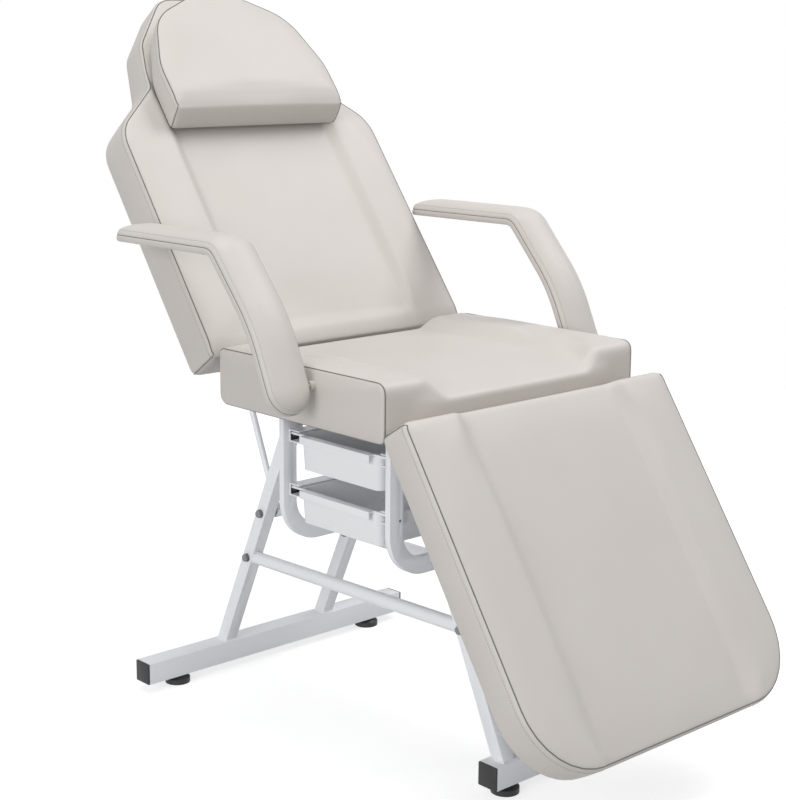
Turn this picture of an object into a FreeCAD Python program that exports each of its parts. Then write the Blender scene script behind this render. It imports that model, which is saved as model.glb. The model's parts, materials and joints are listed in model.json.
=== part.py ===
import FreeCAD, Part
import math
import os

# A tattoo chair: a padded seat, a tilting backrest with a headrest pillow, a tilting leg
# rest and two swinging armrests on a welded steel trestle, with two trays under the seat.
# Millimetres, +Z up, floor at zero. The sitter faces -Y, and the sitter's right is -X.

Vector = FreeCAD.Vector
UP = Vector(0, 0, 1)
ACROSS = Vector(1, 0, 0)
SIDES = {"left": 1, "right": -1}

# Upholstered edges: how a pad draws in towards its back and rounds into its crown
FULL_WIDTH_SHARE = 0.3
UPPER_INSET_SHARE = 0.2
EDGE_START_SHARE = 1.35
EDGE_ROUND_SHARES = ((0.35, 0.55),)
CROWN_START_SHARE = 1.1
CROWN_END_SHARE = 2.6
SEAT_LOW_SHARE = 0.35
PANEL_LOW_SHARE = 0.4
TIGHT_CORNER_SHARE = 0.125
SEAT_CROWN = 3.0
BACK_CROWN = 3.0
LEG_CROWN = 2.5

# Overall placing
SEAT_REAR_Y = 131.57
SEAT_TOP = 686.0
OVERRUN = 5.0
LOOSE = 0.3
RUNNING = 0.05

# Seat
SEAT_HALF_WIDTH = 300.0
SEAT_DEPTH = 421.0
SEAT_THICK = 99.0
SEAT_CORNER = 22.0
SEAT_EDGE = 16.0
SEAT_DISH_HALF = 214.0
SEAT_DISH_FLAT = 166.0
SEAT_DISH_DEEP = 16.0
SEAT_SKIRT = 15.0
SEAT_LIP = 26.0
BOARD = 12.0
FRAME_TUBE = 25.0
TUBE_WALL = 2.0
PLATE = 5.0

# Backrest
BACK_REST_ANGLE = 54.0
BACK_HALF_WIDTH = 305.0
BACK_LENGTH = 775.0
BACK_THICK = 83.0
BACK_EDGE = 14.0
BACK_LOW_CORNER = 24.0
BACK_GAP = 30.0
BACK_SHOULDER = 470.0
BACK_NECK = 562.0
BACK_NECK_HALF = 197.0
BACK_HEAD = 668.0
BACK_HEAD_HALF = 168.0
BACK_TOP_HALF = 80.0
SHOULDER_ROUND = 78.0
NECK_ROUND = 42.0
HEAD_ROUND = 62.0
BACK_SHOULDER_HALF = 303.0
PANEL_HALF = 206.0
PANEL_FLAT = 167.0
BACK_DISH_DEEP = 8.0
BACK_DISH_START = 40.0
BACK_DISH_END = 468.0
BACK_PIVOT_BEHIND = 31.0
BACK_PIVOT_BELOW = 34.0

# Headrest pillow
PILLOW_HALF_WIDTH = 200.0
PILLOW_START = 455.0
PILLOW_LENGTH = 281.0
PILLOW_LOW_THICK = 60.0
PILLOW_TOP_THICK = 32.0
PILLOW_UNDERCUT = 25.0
PILLOW_LOW_CORNER = 22.0
PILLOW_CHEEK = 157.0
PILLOW_BROW = 226.0
PILLOW_BROW_HALF = 150.0
PILLOW_TOP_HALF = 78.0
PILLOW_ROUND = 58.0
PILLOW_EDGE = 16.0
PILLOW_SECTION_SHARES = ((0, 0.5), (0.3, 0), (0.7, 0.1), (0.9, 0.7), (1, 2))

# Leg rest
LEG_REST_ANGLE = 57.0
LEG_HALF_WIDTH = 311.0
LEG_LENGTH = 580.0
LEG_THICK = 64.0
LEG_EDGE = 13.0
LEG_KNEE_CORNER = 14.0
LEG_LOW_CORNER = 122.0
LEG_GAP = 12.0
LEG_DISH_DEEP = 7.5
LEG_PIVOT_INSIDE = 7.0
LEG_PIVOT_ABOVE = 35.0

# Hinge hardware
EAR_ROUND = 10.0
PIN_DIAMETER = 8.0
PIN_HEAD = 14.0
PIN_HEAD_THICK = 3.0
EAR_CLEAR = 0.4
SLOT_MARGIN = 3.0
SLOT_DEEP = 17.0
BACK_EAR_REACH = 80.0
LEG_EAR_REACH = 75.0
EAR_WIDE = 30.0
EAR_ROOT = 30.0

# Section frames
BACK_TUBE_START = 20.0
BACK_TUBE_LENGTH = 530.0
BACK_CROSS_LOW = 95.0
BACK_CROSS_HIGH = 500.0
LEG_TUBE_START = 15.0
LEG_TUBE_LENGTH = 440.0
LEG_CROSS = 400.0
BOARD_INSET = 9.0

# Trestle
BAR = 40.0
BAR_WALL = 2.5
REAR_BAR_HALF = 320.0
REAR_BAR_BEHIND = 217.0
FRONT_BAR_HALF = 157.0
TRESTLE_HALF_SPREAD = 369.5
CAP_THICK = 4.0
CAP_PLUG = 14.0
CAP_CLEAR = 0.2
REAR_FOOT_X = 243.0
FRONT_FOOT_X = 118.0
FOOT_HEIGHT = 17.5
FOOT_DIAMETER = 47.5
FOOT_NECK = 26.0
FOOT_PAD_SHARE = 0.55
FOOT_STEM = 8.0
FOOT_STEM_LONG = 30.0
LEG_X = 124.0
LEG_TOP_BEHIND = -18.5
LEG_TOP_INSIDE = 134.5
LEG_TOP = 587.0
STRETCHER_REAR_Z = 244.0
STRETCHER_FRONT_Z = 256.0
STRETCHER_DIAMETER = 24.6
SPIGOT_DIAMETER = 15.0
SPIGOT_PLUG = 22.0
SPIGOT_PAST = 8.0
BOLT_DIAMETER = 8.0
BOLT_HEAD = 13.0
BOLT_HEAD_THICK = 5.5
WASHER_DIAMETER = 16.0
WASHER_THICK = 1.6
NUT_THICK = 6.5
NUT_WIDE = 13.0
BOLT_TAIL = 4.0

# Stay that carries the backrest
STAY_BOLT_Z = 339.0
STAY_X = 97.0
STAY_EYE_DIAMETER = 26.0
STAY_EYE_WIDE = 13.0
STAY_TUBE_INTO_EYE = 8.5
STAY_ROD = 12.0
STAY_TUBE = 22.0
STAY_TUBE_WALL = 1.8
STAY_TUBE_LENGTH = 350.0
STAY_ROD_LENGTH = 331.0
STAY_PISTON = 20.0
STAY_GUIDE = 18.0
STAY_BEHIND = 80.0
STAY_ALONG = 400.0
STAY_STUD = 12.0
LUG_HALF = 16.0
LUG_DEEP = 20.0

# Tray unit
TRAY_BRACKET_HALF = 170.0
TRAY_BRACKET_BAND = 30.0
TRAY_BRACKET_BOTTOM = 310.0
TRAY_BRACKET_ROUND = 80.0
TRAY_BRACKET_THICK = 12.0
RAIL_DEEP = 27.0
RAIL_HIGH = 22.0
RAIL_WALL = 2.0
RAIL_HALF = 156.0
UPPER_RAIL_Z = 501.0
LOWER_RAIL_Z = 402.0
TRAY_HALF = 157.0
TRAY_WALL = 3.0
UPPER_TRAY_DEEP = 64.0
LOWER_TRAY_DEEP = 62.0
TRAY_GAP = 1.5
TRAY_CORNER = 14.0
TRAY_RIM = 4.0
TRAY_PULL_HIGH = 14.0
TRAY_PULL_OUT = 12.0
SCREW_DIAMETER = 5.0
SCREW_HEAD = 9.0
SCREW_HEAD_THICK = 2.5

# Armrests
ARM_GAP = 11.0
ARM_HALF_WIDTH = 43.0
ARM_BELOW = 12.0
ARM_CROWN = 20.0
ARM_TIP_DRAW = 6.0
ARM_SEAM_Z = 874.0
ARM_PIVOT_FRONT = -255.0
ARM_PIVOT_Z = 659.0
ARM_KNEE_BEHIND = 43.0
ARM_KNEE_ABOVE = 97.0
ARM_KNEE_ROUND = 300.0
ARM_ELBOW_BEHIND = 145.0
ARM_ELBOW_ROUND = 10.0
ARM_REAR_BEHIND = 420.0
ARM_HEEL_SHARE = 0.12
ARM_TOE_SHARE = 0.8
ARM_TIP_LOW_SHARE = 0.2
ARM_TIP_HIGH_SHARE = 0.72
# Across the armrest: share of the half width, then of the depth below the seam line, of the
# crown above it and of the drawn-in rear end.
ARM_SECTION_SHARES = (
    (1.0, 0.75, 0.08, 1.0), (0.977, 0.92, 0.26, 0.4), (0.92, 1.0, 0.46, 0.1),
    (0.79, 1.0, 0.66, 0.0), (0.56, 1.0, 0.86, 0.0), (0.23, 1.0, 0.98, 0.0))
ARM_CORE_ACROSS_SHARES = (1.0, 0.95, 0.8, 0.5, 0.2)
ARM_CORE_THICK = 18.0
ARM_CORE_INSET = 8.0
ARM_SHAFT = 10.0
ARM_COLLAR = 16.0
ARM_BLOCK_THICK = 34.0
ARM_BLOCK_LONG = 80.0
ARM_BLOCK_HIGH = 50.0
ARM_BLOCK_COVER = 8.0

# Places worked out from the sizes above
SEAT_BOTTOM = SEAT_TOP - SEAT_THICK
FRAME_TOP = SEAT_BOTTOM + FRAME_TUBE
BOARD_TOP = FRAME_TOP + BOARD
BACK_PIVOT = (BACK_PIVOT_BEHIND, SEAT_TOP - BACK_PIVOT_BELOW)
LEG_PIVOT = (-SEAT_DEPTH + LEG_PIVOT_INSIDE, SEAT_BOTTOM + LEG_PIVOT_ABOVE)
BACK_START_Y = BACK_GAP
BACK_FACE_Z = SEAT_TOP - BACK_THICK
LEG_START_Y = -SEAT_DEPTH - LEG_GAP
LEG_FACE_Z = SEAT_TOP - LEG_THICK
BAR_TOP = FOOT_HEIGHT + BAR
TRESTLE_MIDDLE = REAR_BAR_BEHIND - TRESTLE_HALF_SPREAD
FRONT_BAR_Y = TRESTLE_MIDDLE - TRESTLE_HALF_SPREAD
LEG_TOP_FRONT = LEG_TOP_INSIDE - SEAT_DEPTH
LEG_RISE = LEG_TOP - BAR_TOP
REAR_LEAN = (LEG_TOP_BEHIND - REAR_BAR_BEHIND) / LEG_RISE
FRONT_LEAN = (LEG_TOP_FRONT - FRONT_BAR_Y) / LEG_RISE
FIXED_EAR_X = LEG_X + FRAME_TUBE / 2
MOVING_EAR_X = FIXED_EAR_X + PLATE + EAR_CLEAR
SECTION_TUBE_X = MOVING_EAR_X - FRAME_TUBE / 2
SLOT_INNER = FIXED_EAR_X - PIN_HEAD_THICK - SLOT_MARGIN
SLOT_OUTER = MOVING_EAR_X + PLATE + PIN_HEAD_THICK + SLOT_MARGIN
ARM_INNER = SEAT_HALF_WIDTH + ARM_GAP
ARM_MIDDLE = ARM_INNER + ARM_HALF_WIDTH
ARM_PIVOT = (ARM_PIVOT_FRONT, ARM_PIVOT_Z)
REAR_BRACKET_Y = LEG_TOP_BEHIND + TRAY_BRACKET_THICK / 2
FRONT_BRACKET_Y = LEG_TOP_FRONT - TRAY_BRACKET_THICK / 2


def box(x0, x1, y0, y1, z0, z1):
    return Part.makeBox(x1 - x0, y1 - y0, z1 - z0, Vector(x0, y0, z0))


def rod_between(start, end, diameter):
    run = end - start
    return Part.makeCylinder(diameter / 2, run.Length, start, run)


def cross_rod(x0, x1, y, z, diameter):
    return Part.makeCylinder(diameter / 2, x1 - x0, Vector(x0, y, z), ACROSS)


def hex_prism(x0, x1, y, z, across_flats):
    reach = across_flats / math.sqrt(3)
    corners = []
    for step in range(6):
        turn = math.radians(60 * step)
        corners.append(Vector(x0, y + reach * math.cos(turn), z + reach * math.sin(turn)))
    face = Part.Face(Part.makePolygon(corners + corners[:1]))
    return face.extrude(Vector(x1 - x0, 0, 0))


def fuse(shapes):
    whole = shapes[0].multiFuse(shapes[1:])
    return whole.removeSplitter()


def mirror_side(shape):
    return shape.mirror(Vector(0, 0, 0), ACROSS)


def span(side, near, far):
    return (near, far) if side > 0 else (-far, -near)


def offset_corners(corners, inset):
    count = len(corners)
    lines = []
    for index, (x, s, _) in enumerate(corners):
        nx, ns, _ = corners[(index + 1) % count]
        length = math.hypot(nx - x, ns - s)
        dx = (nx - x) / length
        ds = (ns - s) / length
        lines.append((x - ds * inset, s + dx * inset, dx, ds))
    moved = []
    for index in range(count):
        x0, s0, dx0, ds0 = lines[index - 1]
        x1, s1, dx1, ds1 = lines[index]
        cross = dx0 * ds1 - ds0 * dx1
        along = ((x1 - x0) * ds1 - (s1 - s0) * dx1) / cross
        convex = 1 if cross > 0 else -1
        radius = max(corners[index][2] - convex * inset,
                     corners[index][2] * TIGHT_CORNER_SHARE)
        moved.append((x0 + dx0 * along, s0 + ds0 * along, radius))
    return moved


def outline(corners, inset, place):
    # A closed wire of lines and arcs through rounded corners, counter-clockwise,
    # drawn in by the inset and carried into space by the place function.
    moved = offset_corners(corners, inset)
    count = len(moved)
    arcs = []
    for index, (x, s, radius) in enumerate(moved):
        px, ps, _ = moved[index - 1]
        nx, ns, _ = moved[(index + 1) % count]
        a = Vector(px - x, ps - s, 0).normalize()
        b = Vector(nx - x, ns - s, 0).normalize()
        half = a.getAngle(b) / 2
        reach = radius / math.tan(half)
        corner = Vector(x, s, 0)
        middle = corner + (a + b).normalize() * (radius / math.sin(half) - radius)
        arcs.append((corner + a * reach, middle, corner + b * reach))
    edges = []
    for index, (start, middle, end) in enumerate(arcs):
        edges.append(Part.Arc(place(start), place(middle), place(end)).toShape())
        following = arcs[(index + 1) % count][0]
        edges.append(Part.LineSegment(place(end), place(following)).toShape())
    return Part.Wire(edges)


def mirrored(right_half):
    # The right half of an outline, from the low middle to the high middle, made whole.
    left_half = [(-x, s, radius) for x, s, radius in reversed(right_half)]
    return right_half + left_half


def layered_pad(corners, layers, place_at):
    wires = []
    for inset, level in layers:
        wires.append(outline(corners, inset, place_at(level)))
    return Part.makeLoft(wires, True, True)


def pad_layers(thick, edge, low_inset_share, crown):
    # Drawn-in sides: narrow at the back seam, full at a third, rounded into the crown.
    low_inset = edge * low_inset_share
    layers = [(low_inset, 0), (0, thick * FULL_WIDTH_SHARE),
              (low_inset * UPPER_INSET_SHARE, thick - edge * EDGE_START_SHARE)]
    for inset_share, drop_share in EDGE_ROUND_SHARES:
        layers.append((edge * inset_share, thick - edge * drop_share))
    layers.append((edge * CROWN_START_SHARE, thick - crown))
    layers.append((edge * CROWN_END_SHARE, thick))
    return layers


def flat_plane(origin_y, origin_z, way):
    # Places outline points on a level plane at a height above the section's back face.
    def at(level):
        def place(point):
            return Vector(point.x * way, origin_y + way * point.y, origin_z + level)
        return place
    return at


def tilt_back(shape):
    turned = shape.copy()
    turned.rotate(Vector(0, *BACK_PIVOT), ACROSS, BACK_REST_ANGLE)
    return turned


def tilt_leg(shape):
    turned = shape.copy()
    turned.rotate(Vector(0, *LEG_PIVOT), ACROSS, LEG_REST_ANGLE)
    return turned


def turned_point(point, pivot, angle):
    turn = math.radians(angle)
    y = point[0] - pivot[0]
    z = point[1] - pivot[1]
    return (pivot[0] + y * math.cos(turn) - z * math.sin(turn),
            pivot[1] + y * math.sin(turn) + z * math.cos(turn))


def sunk_panel(flat, edge, deep, y0, y1, top):
    # A hollow along Y with a flat floor and sloping sides, between the side bolsters.
    corners = [Vector(edge, y0, top), Vector(flat, y0, top - deep), Vector(-flat, y0, top - deep),
               Vector(-edge, y0, top), Vector(-edge, y0, top + OVERRUN),
               Vector(edge, y0, top + OVERRUN)]
    face = Part.Face(Part.makePolygon(corners + corners[:1]))
    return face.extrude(Vector(0, y1 - y0, 0))


def leg_centre(z, front=False):
    start, lean = (FRONT_BAR_Y, FRONT_LEAN) if front else (REAR_BAR_BEHIND, REAR_LEAN)
    return start + (z - BAR_TOP) * lean


def level_width(width, front):
    # How wide a leaning tube is when it is cut level.
    return width * math.hypot(1, FRONT_LEAN if front else REAR_LEAN)


def leaning_prism(x0, x1, width, front):
    wide = level_width(width, front) / 2
    low = leg_centre(BAR_TOP, front)
    high = leg_centre(LEG_TOP, front)
    corners = [Vector(x0, low - wide, BAR_TOP), Vector(x0, low + wide, BAR_TOP),
               Vector(x0, high + wide, LEG_TOP), Vector(x0, high - wide, LEG_TOP)]
    face = Part.Face(Part.makePolygon(corners + corners[:1]))
    return face.extrude(Vector(x1 - x0, 0, 0))


def stretcher_axis(side):
    x = side * LEG_X
    rear = Vector(x, leg_centre(STRETCHER_REAR_Z), STRETCHER_REAR_Z)
    front = Vector(x, leg_centre(STRETCHER_FRONT_Z, True), STRETCHER_FRONT_Z)
    return rear, front


def trestle_leg(side, front):
    x = side * LEG_X
    half = FRAME_TUBE / 2
    leg = leaning_prism(x - half, x + half, FRAME_TUBE, front)
    bore = leaning_prism(x - half + TUBE_WALL, x + half - TUBE_WALL,
                         FRAME_TUBE - 2 * TUBE_WALL, front)
    leg = leg.cut(bore)
    z = STRETCHER_FRONT_Z if front else STRETCHER_REAR_Z
    y = leg_centre(z, front)
    leg = leg.cut(cross_rod(x - FRAME_TUBE, x + FRAME_TUBE, y, z, BOLT_DIAMETER + 2 * RUNNING))
    rear_end, front_end = stretcher_axis(side)
    leg = leg.cut(rod_between(rear_end, front_end, SPIGOT_DIAMETER + 2 * RUNNING))
    if side == SIDES["right"] and not front:
        hole = cross_rod(x - FRAME_TUBE, x + FRAME_TUBE, leg_centre(STAY_BOLT_Z), STAY_BOLT_Z,
                         BOLT_DIAMETER + 2 * RUNNING)
        leg = leg.cut(hole)
    return leg


def stretcher(side):
    rear_end, front_end = stretcher_axis(side)
    run = (front_end - rear_end).normalize()
    tube = rod_between(rear_end, front_end, STRETCHER_DIAMETER)
    x = side * LEG_X
    for front in (False, True):
        tube = tube.cut(leaning_prism(x - FRAME_TUBE, x + FRAME_TUBE, FRAME_TUBE, front))
    rear_width = level_width(FRAME_TUBE, False)
    front_width = level_width(FRAME_TUBE, True)
    hollow_start = rear_end + run * (rear_width / 2 + SPIGOT_PLUG)
    hollow_end = front_end - run * (front_width / 2 + SPIGOT_PLUG)
    tube = tube.cut(rod_between(hollow_start, hollow_end, STRETCHER_DIAMETER - 2 * TUBE_WALL))
    for middle, way, width in ((rear_end, run, rear_width), (front_end, run * -1, front_width)):
        tongue = rod_between(middle - way * SPIGOT_PAST, middle + way * width, SPIGOT_DIAMETER)
        tube = tube.fuse(tongue)
    for middle in (rear_end, front_end):
        tube = tube.cut(cross_rod(x - FRAME_TUBE, x + FRAME_TUBE, middle.y, middle.z,
                                  BOLT_DIAMETER + 2 * RUNNING))
    return tube.removeSplitter()


def floor_bar(y, half, foot_x):
    low = y - BAR / 2
    high = y + BAR / 2
    bar = box(-half, half, low, high, FOOT_HEIGHT, BAR_TOP)
    bore = box(-half - OVERRUN, half + OVERRUN, low + BAR_WALL, high - BAR_WALL,
               FOOT_HEIGHT + BAR_WALL, BAR_TOP - BAR_WALL)
    bar = bar.cut(bore)
    for side in SIDES.values():
        hole = Part.makeCylinder(FOOT_STEM / 2 + RUNNING, BAR_WALL + 2 * OVERRUN,
                                 Vector(side * foot_x, y, FOOT_HEIGHT - OVERRUN), UP)
        bar = bar.cut(hole)
    return bar


def end_caps():
    caps = []
    inner = BAR / 2 - BAR_WALL - CAP_CLEAR
    centre_z = FOOT_HEIGHT + BAR / 2
    for y, half in ((REAR_BAR_BEHIND, REAR_BAR_HALF), (FRONT_BAR_Y, FRONT_BAR_HALF)):
        cap = box(half, half + CAP_THICK, y - BAR / 2, y + BAR / 2, FOOT_HEIGHT, BAR_TOP)
        plug = box(half - CAP_PLUG, half, y - inner, y + inner, centre_z - inner,
                   centre_z + inner)
        cap = cap.fuse(plug).removeSplitter()
        caps += [cap, mirror_side(cap)]
    return Part.makeCompound(caps)


def foot(x, y):
    pad_high = FOOT_HEIGHT * FOOT_PAD_SHARE
    pad = Part.makeCylinder(FOOT_DIAMETER / 2, pad_high, Vector(x, y, 0), UP)
    neck = Part.makeCone(FOOT_DIAMETER / 2, FOOT_NECK / 2, FOOT_HEIGHT - LOOSE - pad_high,
                         Vector(x, y, pad_high), UP)
    stem = Part.makeCylinder(FOOT_STEM / 2, FOOT_STEM_LONG, Vector(x, y, pad_high), UP)
    return fuse([pad, neck, stem])


def bolt(side, y, z, inner_end):
    # A bolt across a leg: head and washer on the outer face, tail past the inner face.
    face = LEG_X + FRAME_TUBE / 2
    washer_face = face + WASHER_THICK
    solid = fuse([
        cross_rod(inner_end, washer_face, y, z, BOLT_DIAMETER),
        cross_rod(face, washer_face, y, z, WASHER_DIAMETER),
        hex_prism(washer_face, washer_face + BOLT_HEAD_THICK, y, z, BOLT_HEAD),
    ])
    return solid if side > 0 else mirror_side(solid)


def nut(side, y, z, outer_x):
    solid = hex_prism(outer_x - NUT_THICK, outer_x, y, z, NUT_WIDE)
    solid = solid.cut(cross_rod(outer_x - NUT_THICK - OVERRUN, outer_x + OVERRUN, y, z,
                                BOLT_DIAMETER))
    return solid if side > 0 else mirror_side(solid)


def stretcher_bolt_places():
    places = []
    for side in SIDES.values():
        for end in stretcher_axis(side):
            places.append((side, end.y, end.z))
    return places


def stretcher_bolts():
    inner = LEG_X - FRAME_TUBE / 2 - NUT_THICK - BOLT_TAIL
    return Part.makeCompound([bolt(*place, inner) for place in stretcher_bolt_places()])


def frame_nuts():
    nuts = [nut(*place, LEG_X - FRAME_TUBE / 2) for place in stretcher_bolt_places()]
    stay_face = STAY_X - STAY_EYE_WIDE / 2 - LOOSE
    nuts.append(nut(SIDES["right"], leg_centre(STAY_BOLT_Z), STAY_BOLT_Z, stay_face))
    return Part.makeCompound(nuts)


def stay_bolt():
    y = leg_centre(STAY_BOLT_Z)
    leg_face = LEG_X - FRAME_TUBE / 2
    eye_face = STAY_X + STAY_EYE_WIDE / 2 + LOOSE
    inner = STAY_X - STAY_EYE_WIDE / 2 - LOOSE - NUT_THICK - BOLT_TAIL
    shank = bolt(SIDES["left"], y, STAY_BOLT_Z, inner)
    collar = cross_rod(eye_face, leg_face, y, STAY_BOLT_Z, WASHER_DIAMETER)
    return mirror_side(fuse([shank, collar]))


def square_tube(x0, x1, y0, y1, z0, z1, along):
    outer = box(x0, x1, y0, y1, z0, z1)
    wall = TUBE_WALL
    if along == "x":
        inner = box(x0 - OVERRUN, x1 + OVERRUN, y0 + wall, y1 - wall, z0 + wall, z1 - wall)
    else:
        inner = box(x0 + wall, x1 - wall, y0 - OVERRUN, y1 + OVERRUN, z0 + wall, z1 - wall)
    return outer.cut(inner)


def seat_cross(y):
    half = FRAME_TUBE / 2
    reach = TRAY_BRACKET_HALF + PLATE
    return square_tube(-reach, reach, y - half, y + half, SEAT_BOTTOM, FRAME_TOP, "x")


def seat_rail(side):
    half = FRAME_TUBE / 2
    x = side * LEG_X
    return square_tube(x - half, x + half, LEG_TOP_FRONT + half, LEG_TOP_BEHIND - half,
                       SEAT_BOTTOM, FRAME_TOP, "y")


def ear_round(x0, pivot):
    return cross_rod(x0, x0 + PLATE, *pivot, 2 * EAR_ROUND)


def ear_hole(x0, pivot, clearance):
    return cross_rod(x0 - OVERRUN, x0 + PLATE + OVERRUN, *pivot, PIN_DIAMETER + 2 * clearance)


def plate(x0, points):
    corners = [Vector(x0, y, z) for y, z in points]
    face = Part.Face(Part.makePolygon(corners + corners[:1]))
    return face.extrude(Vector(PLATE, 0, 0))


def for_side(side, shape):
    return shape if side > 0 else mirror_side(shape)


def back_hinge_plate(side):
    # Stands up behind the seat from the rear cross tube to the backrest's pivot.
    tube_rear = LEG_TOP_BEHIND + FRAME_TUBE / 2
    y, z = BACK_PIVOT
    web = plate(FIXED_EAR_X, [
        (tube_rear, SEAT_BOTTOM), (y + EAR_ROUND - PLATE, SEAT_BOTTOM), (y + EAR_ROUND, z),
        (y - EAR_ROUND, z), (y - EAR_ROUND - PLATE, FRAME_TOP), (tube_rear, FRAME_TOP)])
    solid = fuse([web, ear_round(FIXED_EAR_X, BACK_PIVOT)])
    solid = solid.cut(ear_hole(FIXED_EAR_X, BACK_PIVOT, 0))
    return for_side(side, solid)


def leg_hinge_bracket(side):
    # A short tube forward of the front cross tube, with the leg rest's pivot plate on it.
    half = FRAME_TUBE / 2
    rear = LEG_TOP_FRONT - half
    front = LEG_PIVOT[0] + EAR_ROUND + PLATE
    stub = square_tube(LEG_X - half, LEG_X + half, front, rear, SEAT_BOTTOM, FRAME_TOP, "y")
    y, z = LEG_PIVOT
    web = plate(FIXED_EAR_X, [
        (front + EAR_WIDE, SEAT_BOTTOM), (front + EAR_WIDE, FRAME_TOP),
        (-SEAT_DEPTH + SEAT_LIP - LOOSE, FRAME_TOP), (y, z + EAR_ROUND), (y - EAR_ROUND, z),
        (front - PLATE, SEAT_BOTTOM)])
    solid = fuse([stub, web, ear_round(FIXED_EAR_X, LEG_PIVOT)])
    solid = solid.cut(ear_hole(FIXED_EAR_X, LEG_PIVOT, 0))
    return for_side(side, solid)


def hinge_pins():
    pins = []
    outer = MOVING_EAR_X + PLATE + EAR_CLEAR
    for pivot in (BACK_PIVOT, LEG_PIVOT):
        pin = fuse([
            cross_rod(FIXED_EAR_X - PIN_HEAD_THICK, outer + PIN_HEAD_THICK, *pivot,
                      PIN_DIAMETER),
            cross_rod(outer, outer + PIN_HEAD_THICK, *pivot, PIN_HEAD),
            cross_rod(FIXED_EAR_X - PIN_HEAD_THICK, FIXED_EAR_X, *pivot, PIN_HEAD)])
        pins += [pin, mirror_side(pin)]
    return Part.makeCompound(pins)


def seat_corners():
    half = SEAT_HALF_WIDTH
    return mirrored([(half, 0, SEAT_CORNER), (half, SEAT_DEPTH, SEAT_CORNER)])


def arm_block(side):
    x0, x1 = span(side, SEAT_HALF_WIDTH - ARM_BLOCK_COVER - ARM_BLOCK_THICK,
                  SEAT_HALF_WIDTH - ARM_BLOCK_COVER)
    y = ARM_PIVOT_FRONT
    return box(x0, x1, y - ARM_BLOCK_LONG / 2, y + ARM_BLOCK_LONG / 2, BOARD_TOP,
               BOARD_TOP + ARM_BLOCK_HIGH)


def seat_board():
    half = SEAT_HALF_WIDTH - SEAT_SKIRT
    board = box(-half, half, -SEAT_DEPTH + SEAT_LIP, 0, FRAME_TOP, BOARD_TOP)
    blocks = [arm_block(side) for side in SIDES.values()]
    solid = fuse([board] + blocks)
    reach = SEAT_HALF_WIDTH + OVERRUN
    return solid.cut(cross_rod(-reach, reach, *ARM_PIVOT, ARM_SHAFT))


def seat_cushion():
    # Upholstered block over the board, open below for the frame and at the hinge plates.
    pad = layered_pad(seat_corners(), pad_layers(SEAT_THICK, SEAT_EDGE, SEAT_LOW_SHARE, SEAT_CROWN),
                      flat_plane(0, SEAT_BOTTOM, -1))
    half = SEAT_HALF_WIDTH - SEAT_SKIRT
    lip = -SEAT_DEPTH + SEAT_LIP
    pad = pad.cut(box(-half, half, lip, OVERRUN, SEAT_BOTTOM - OVERRUN, BOARD_TOP))
    pad = pad.cut(sunk_panel(SEAT_DISH_FLAT, SEAT_DISH_HALF, SEAT_DISH_DEEP,
                             -SEAT_DEPTH - OVERRUN, OVERRUN, SEAT_TOP))
    for side in SIDES.values():
        pad = pad.cut(arm_block(side))
        x0, x1 = span(side, SLOT_INNER, SLOT_OUTER)
        pad = pad.cut(box(x0, x1, -SEAT_DEPTH - OVERRUN, lip + OVERRUN,
                          SEAT_BOTTOM - OVERRUN, LEG_PIVOT[1] + EAR_ROUND + SLOT_MARGIN))
    stub_half = FRAME_TUBE / 2 + LOOSE
    for side in SIDES.values():
        x = side * LEG_X
        pad = pad.cut(box(x - stub_half, x + stub_half, LEG_PIVOT[0], lip + OVERRUN,
                          SEAT_BOTTOM - OVERRUN, FRAME_TOP + LOOSE))
    reach = SEAT_HALF_WIDTH + OVERRUN
    return pad.cut(cross_rod(-reach, reach, *ARM_PIVOT, ARM_SHAFT + 2 * LOOSE))


def arm_pivot_shafts():
    inner = SEAT_HALF_WIDTH - ARM_BLOCK_COVER - ARM_BLOCK_THICK
    shaft = fuse([
        cross_rod(inner, ARM_MIDDLE, *ARM_PIVOT, ARM_SHAFT),
        cross_rod(SEAT_HALF_WIDTH + LOOSE, ARM_INNER - LOOSE, *ARM_PIVOT, ARM_COLLAR)])
    return Part.makeCompound([shaft, mirror_side(shaft)])


def tray_bracket(y):
    # A deep U of flat band in a plane across the chair, hung from the cross tube.
    low_y = y - TRAY_BRACKET_THICK / 2
    high_y = y + TRAY_BRACKET_THICK / 2

    def solid_u(half, bottom, radius, top):
        corners = mirrored([(half, bottom, radius), (half, top, TUBE_WALL)])

        def place(point):
            return Vector(point.x, low_y, point.y)
        face = Part.Face(outline(corners, 0, place))
        return face.extrude(Vector(0, high_y - low_y, 0))

    outer = solid_u(TRAY_BRACKET_HALF, TRAY_BRACKET_BOTTOM, TRAY_BRACKET_ROUND,
                    SEAT_BOTTOM + OVERRUN)
    inner = solid_u(TRAY_BRACKET_HALF - TRAY_BRACKET_BAND,
                    TRAY_BRACKET_BOTTOM + TRAY_BRACKET_BAND,
                    TRAY_BRACKET_ROUND - TRAY_BRACKET_BAND, SEAT_BOTTOM + 2 * OVERRUN)
    band = outer.cut(inner)
    reach = TRAY_BRACKET_HALF + OVERRUN
    return band.cut(box(-reach, reach, low_y - OVERRUN, high_y + OVERRUN, SEAT_BOTTOM,
                        SEAT_BOTTOM + 3 * OVERRUN))


def rail_face(rear):
    # The face of the bracket that a rail is screwed to, and the way to the trays.
    if rear:
        return REAR_BRACKET_Y - TRAY_BRACKET_THICK / 2, -1
    return FRONT_BRACKET_Y + TRAY_BRACKET_THICK / 2, 1


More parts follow.
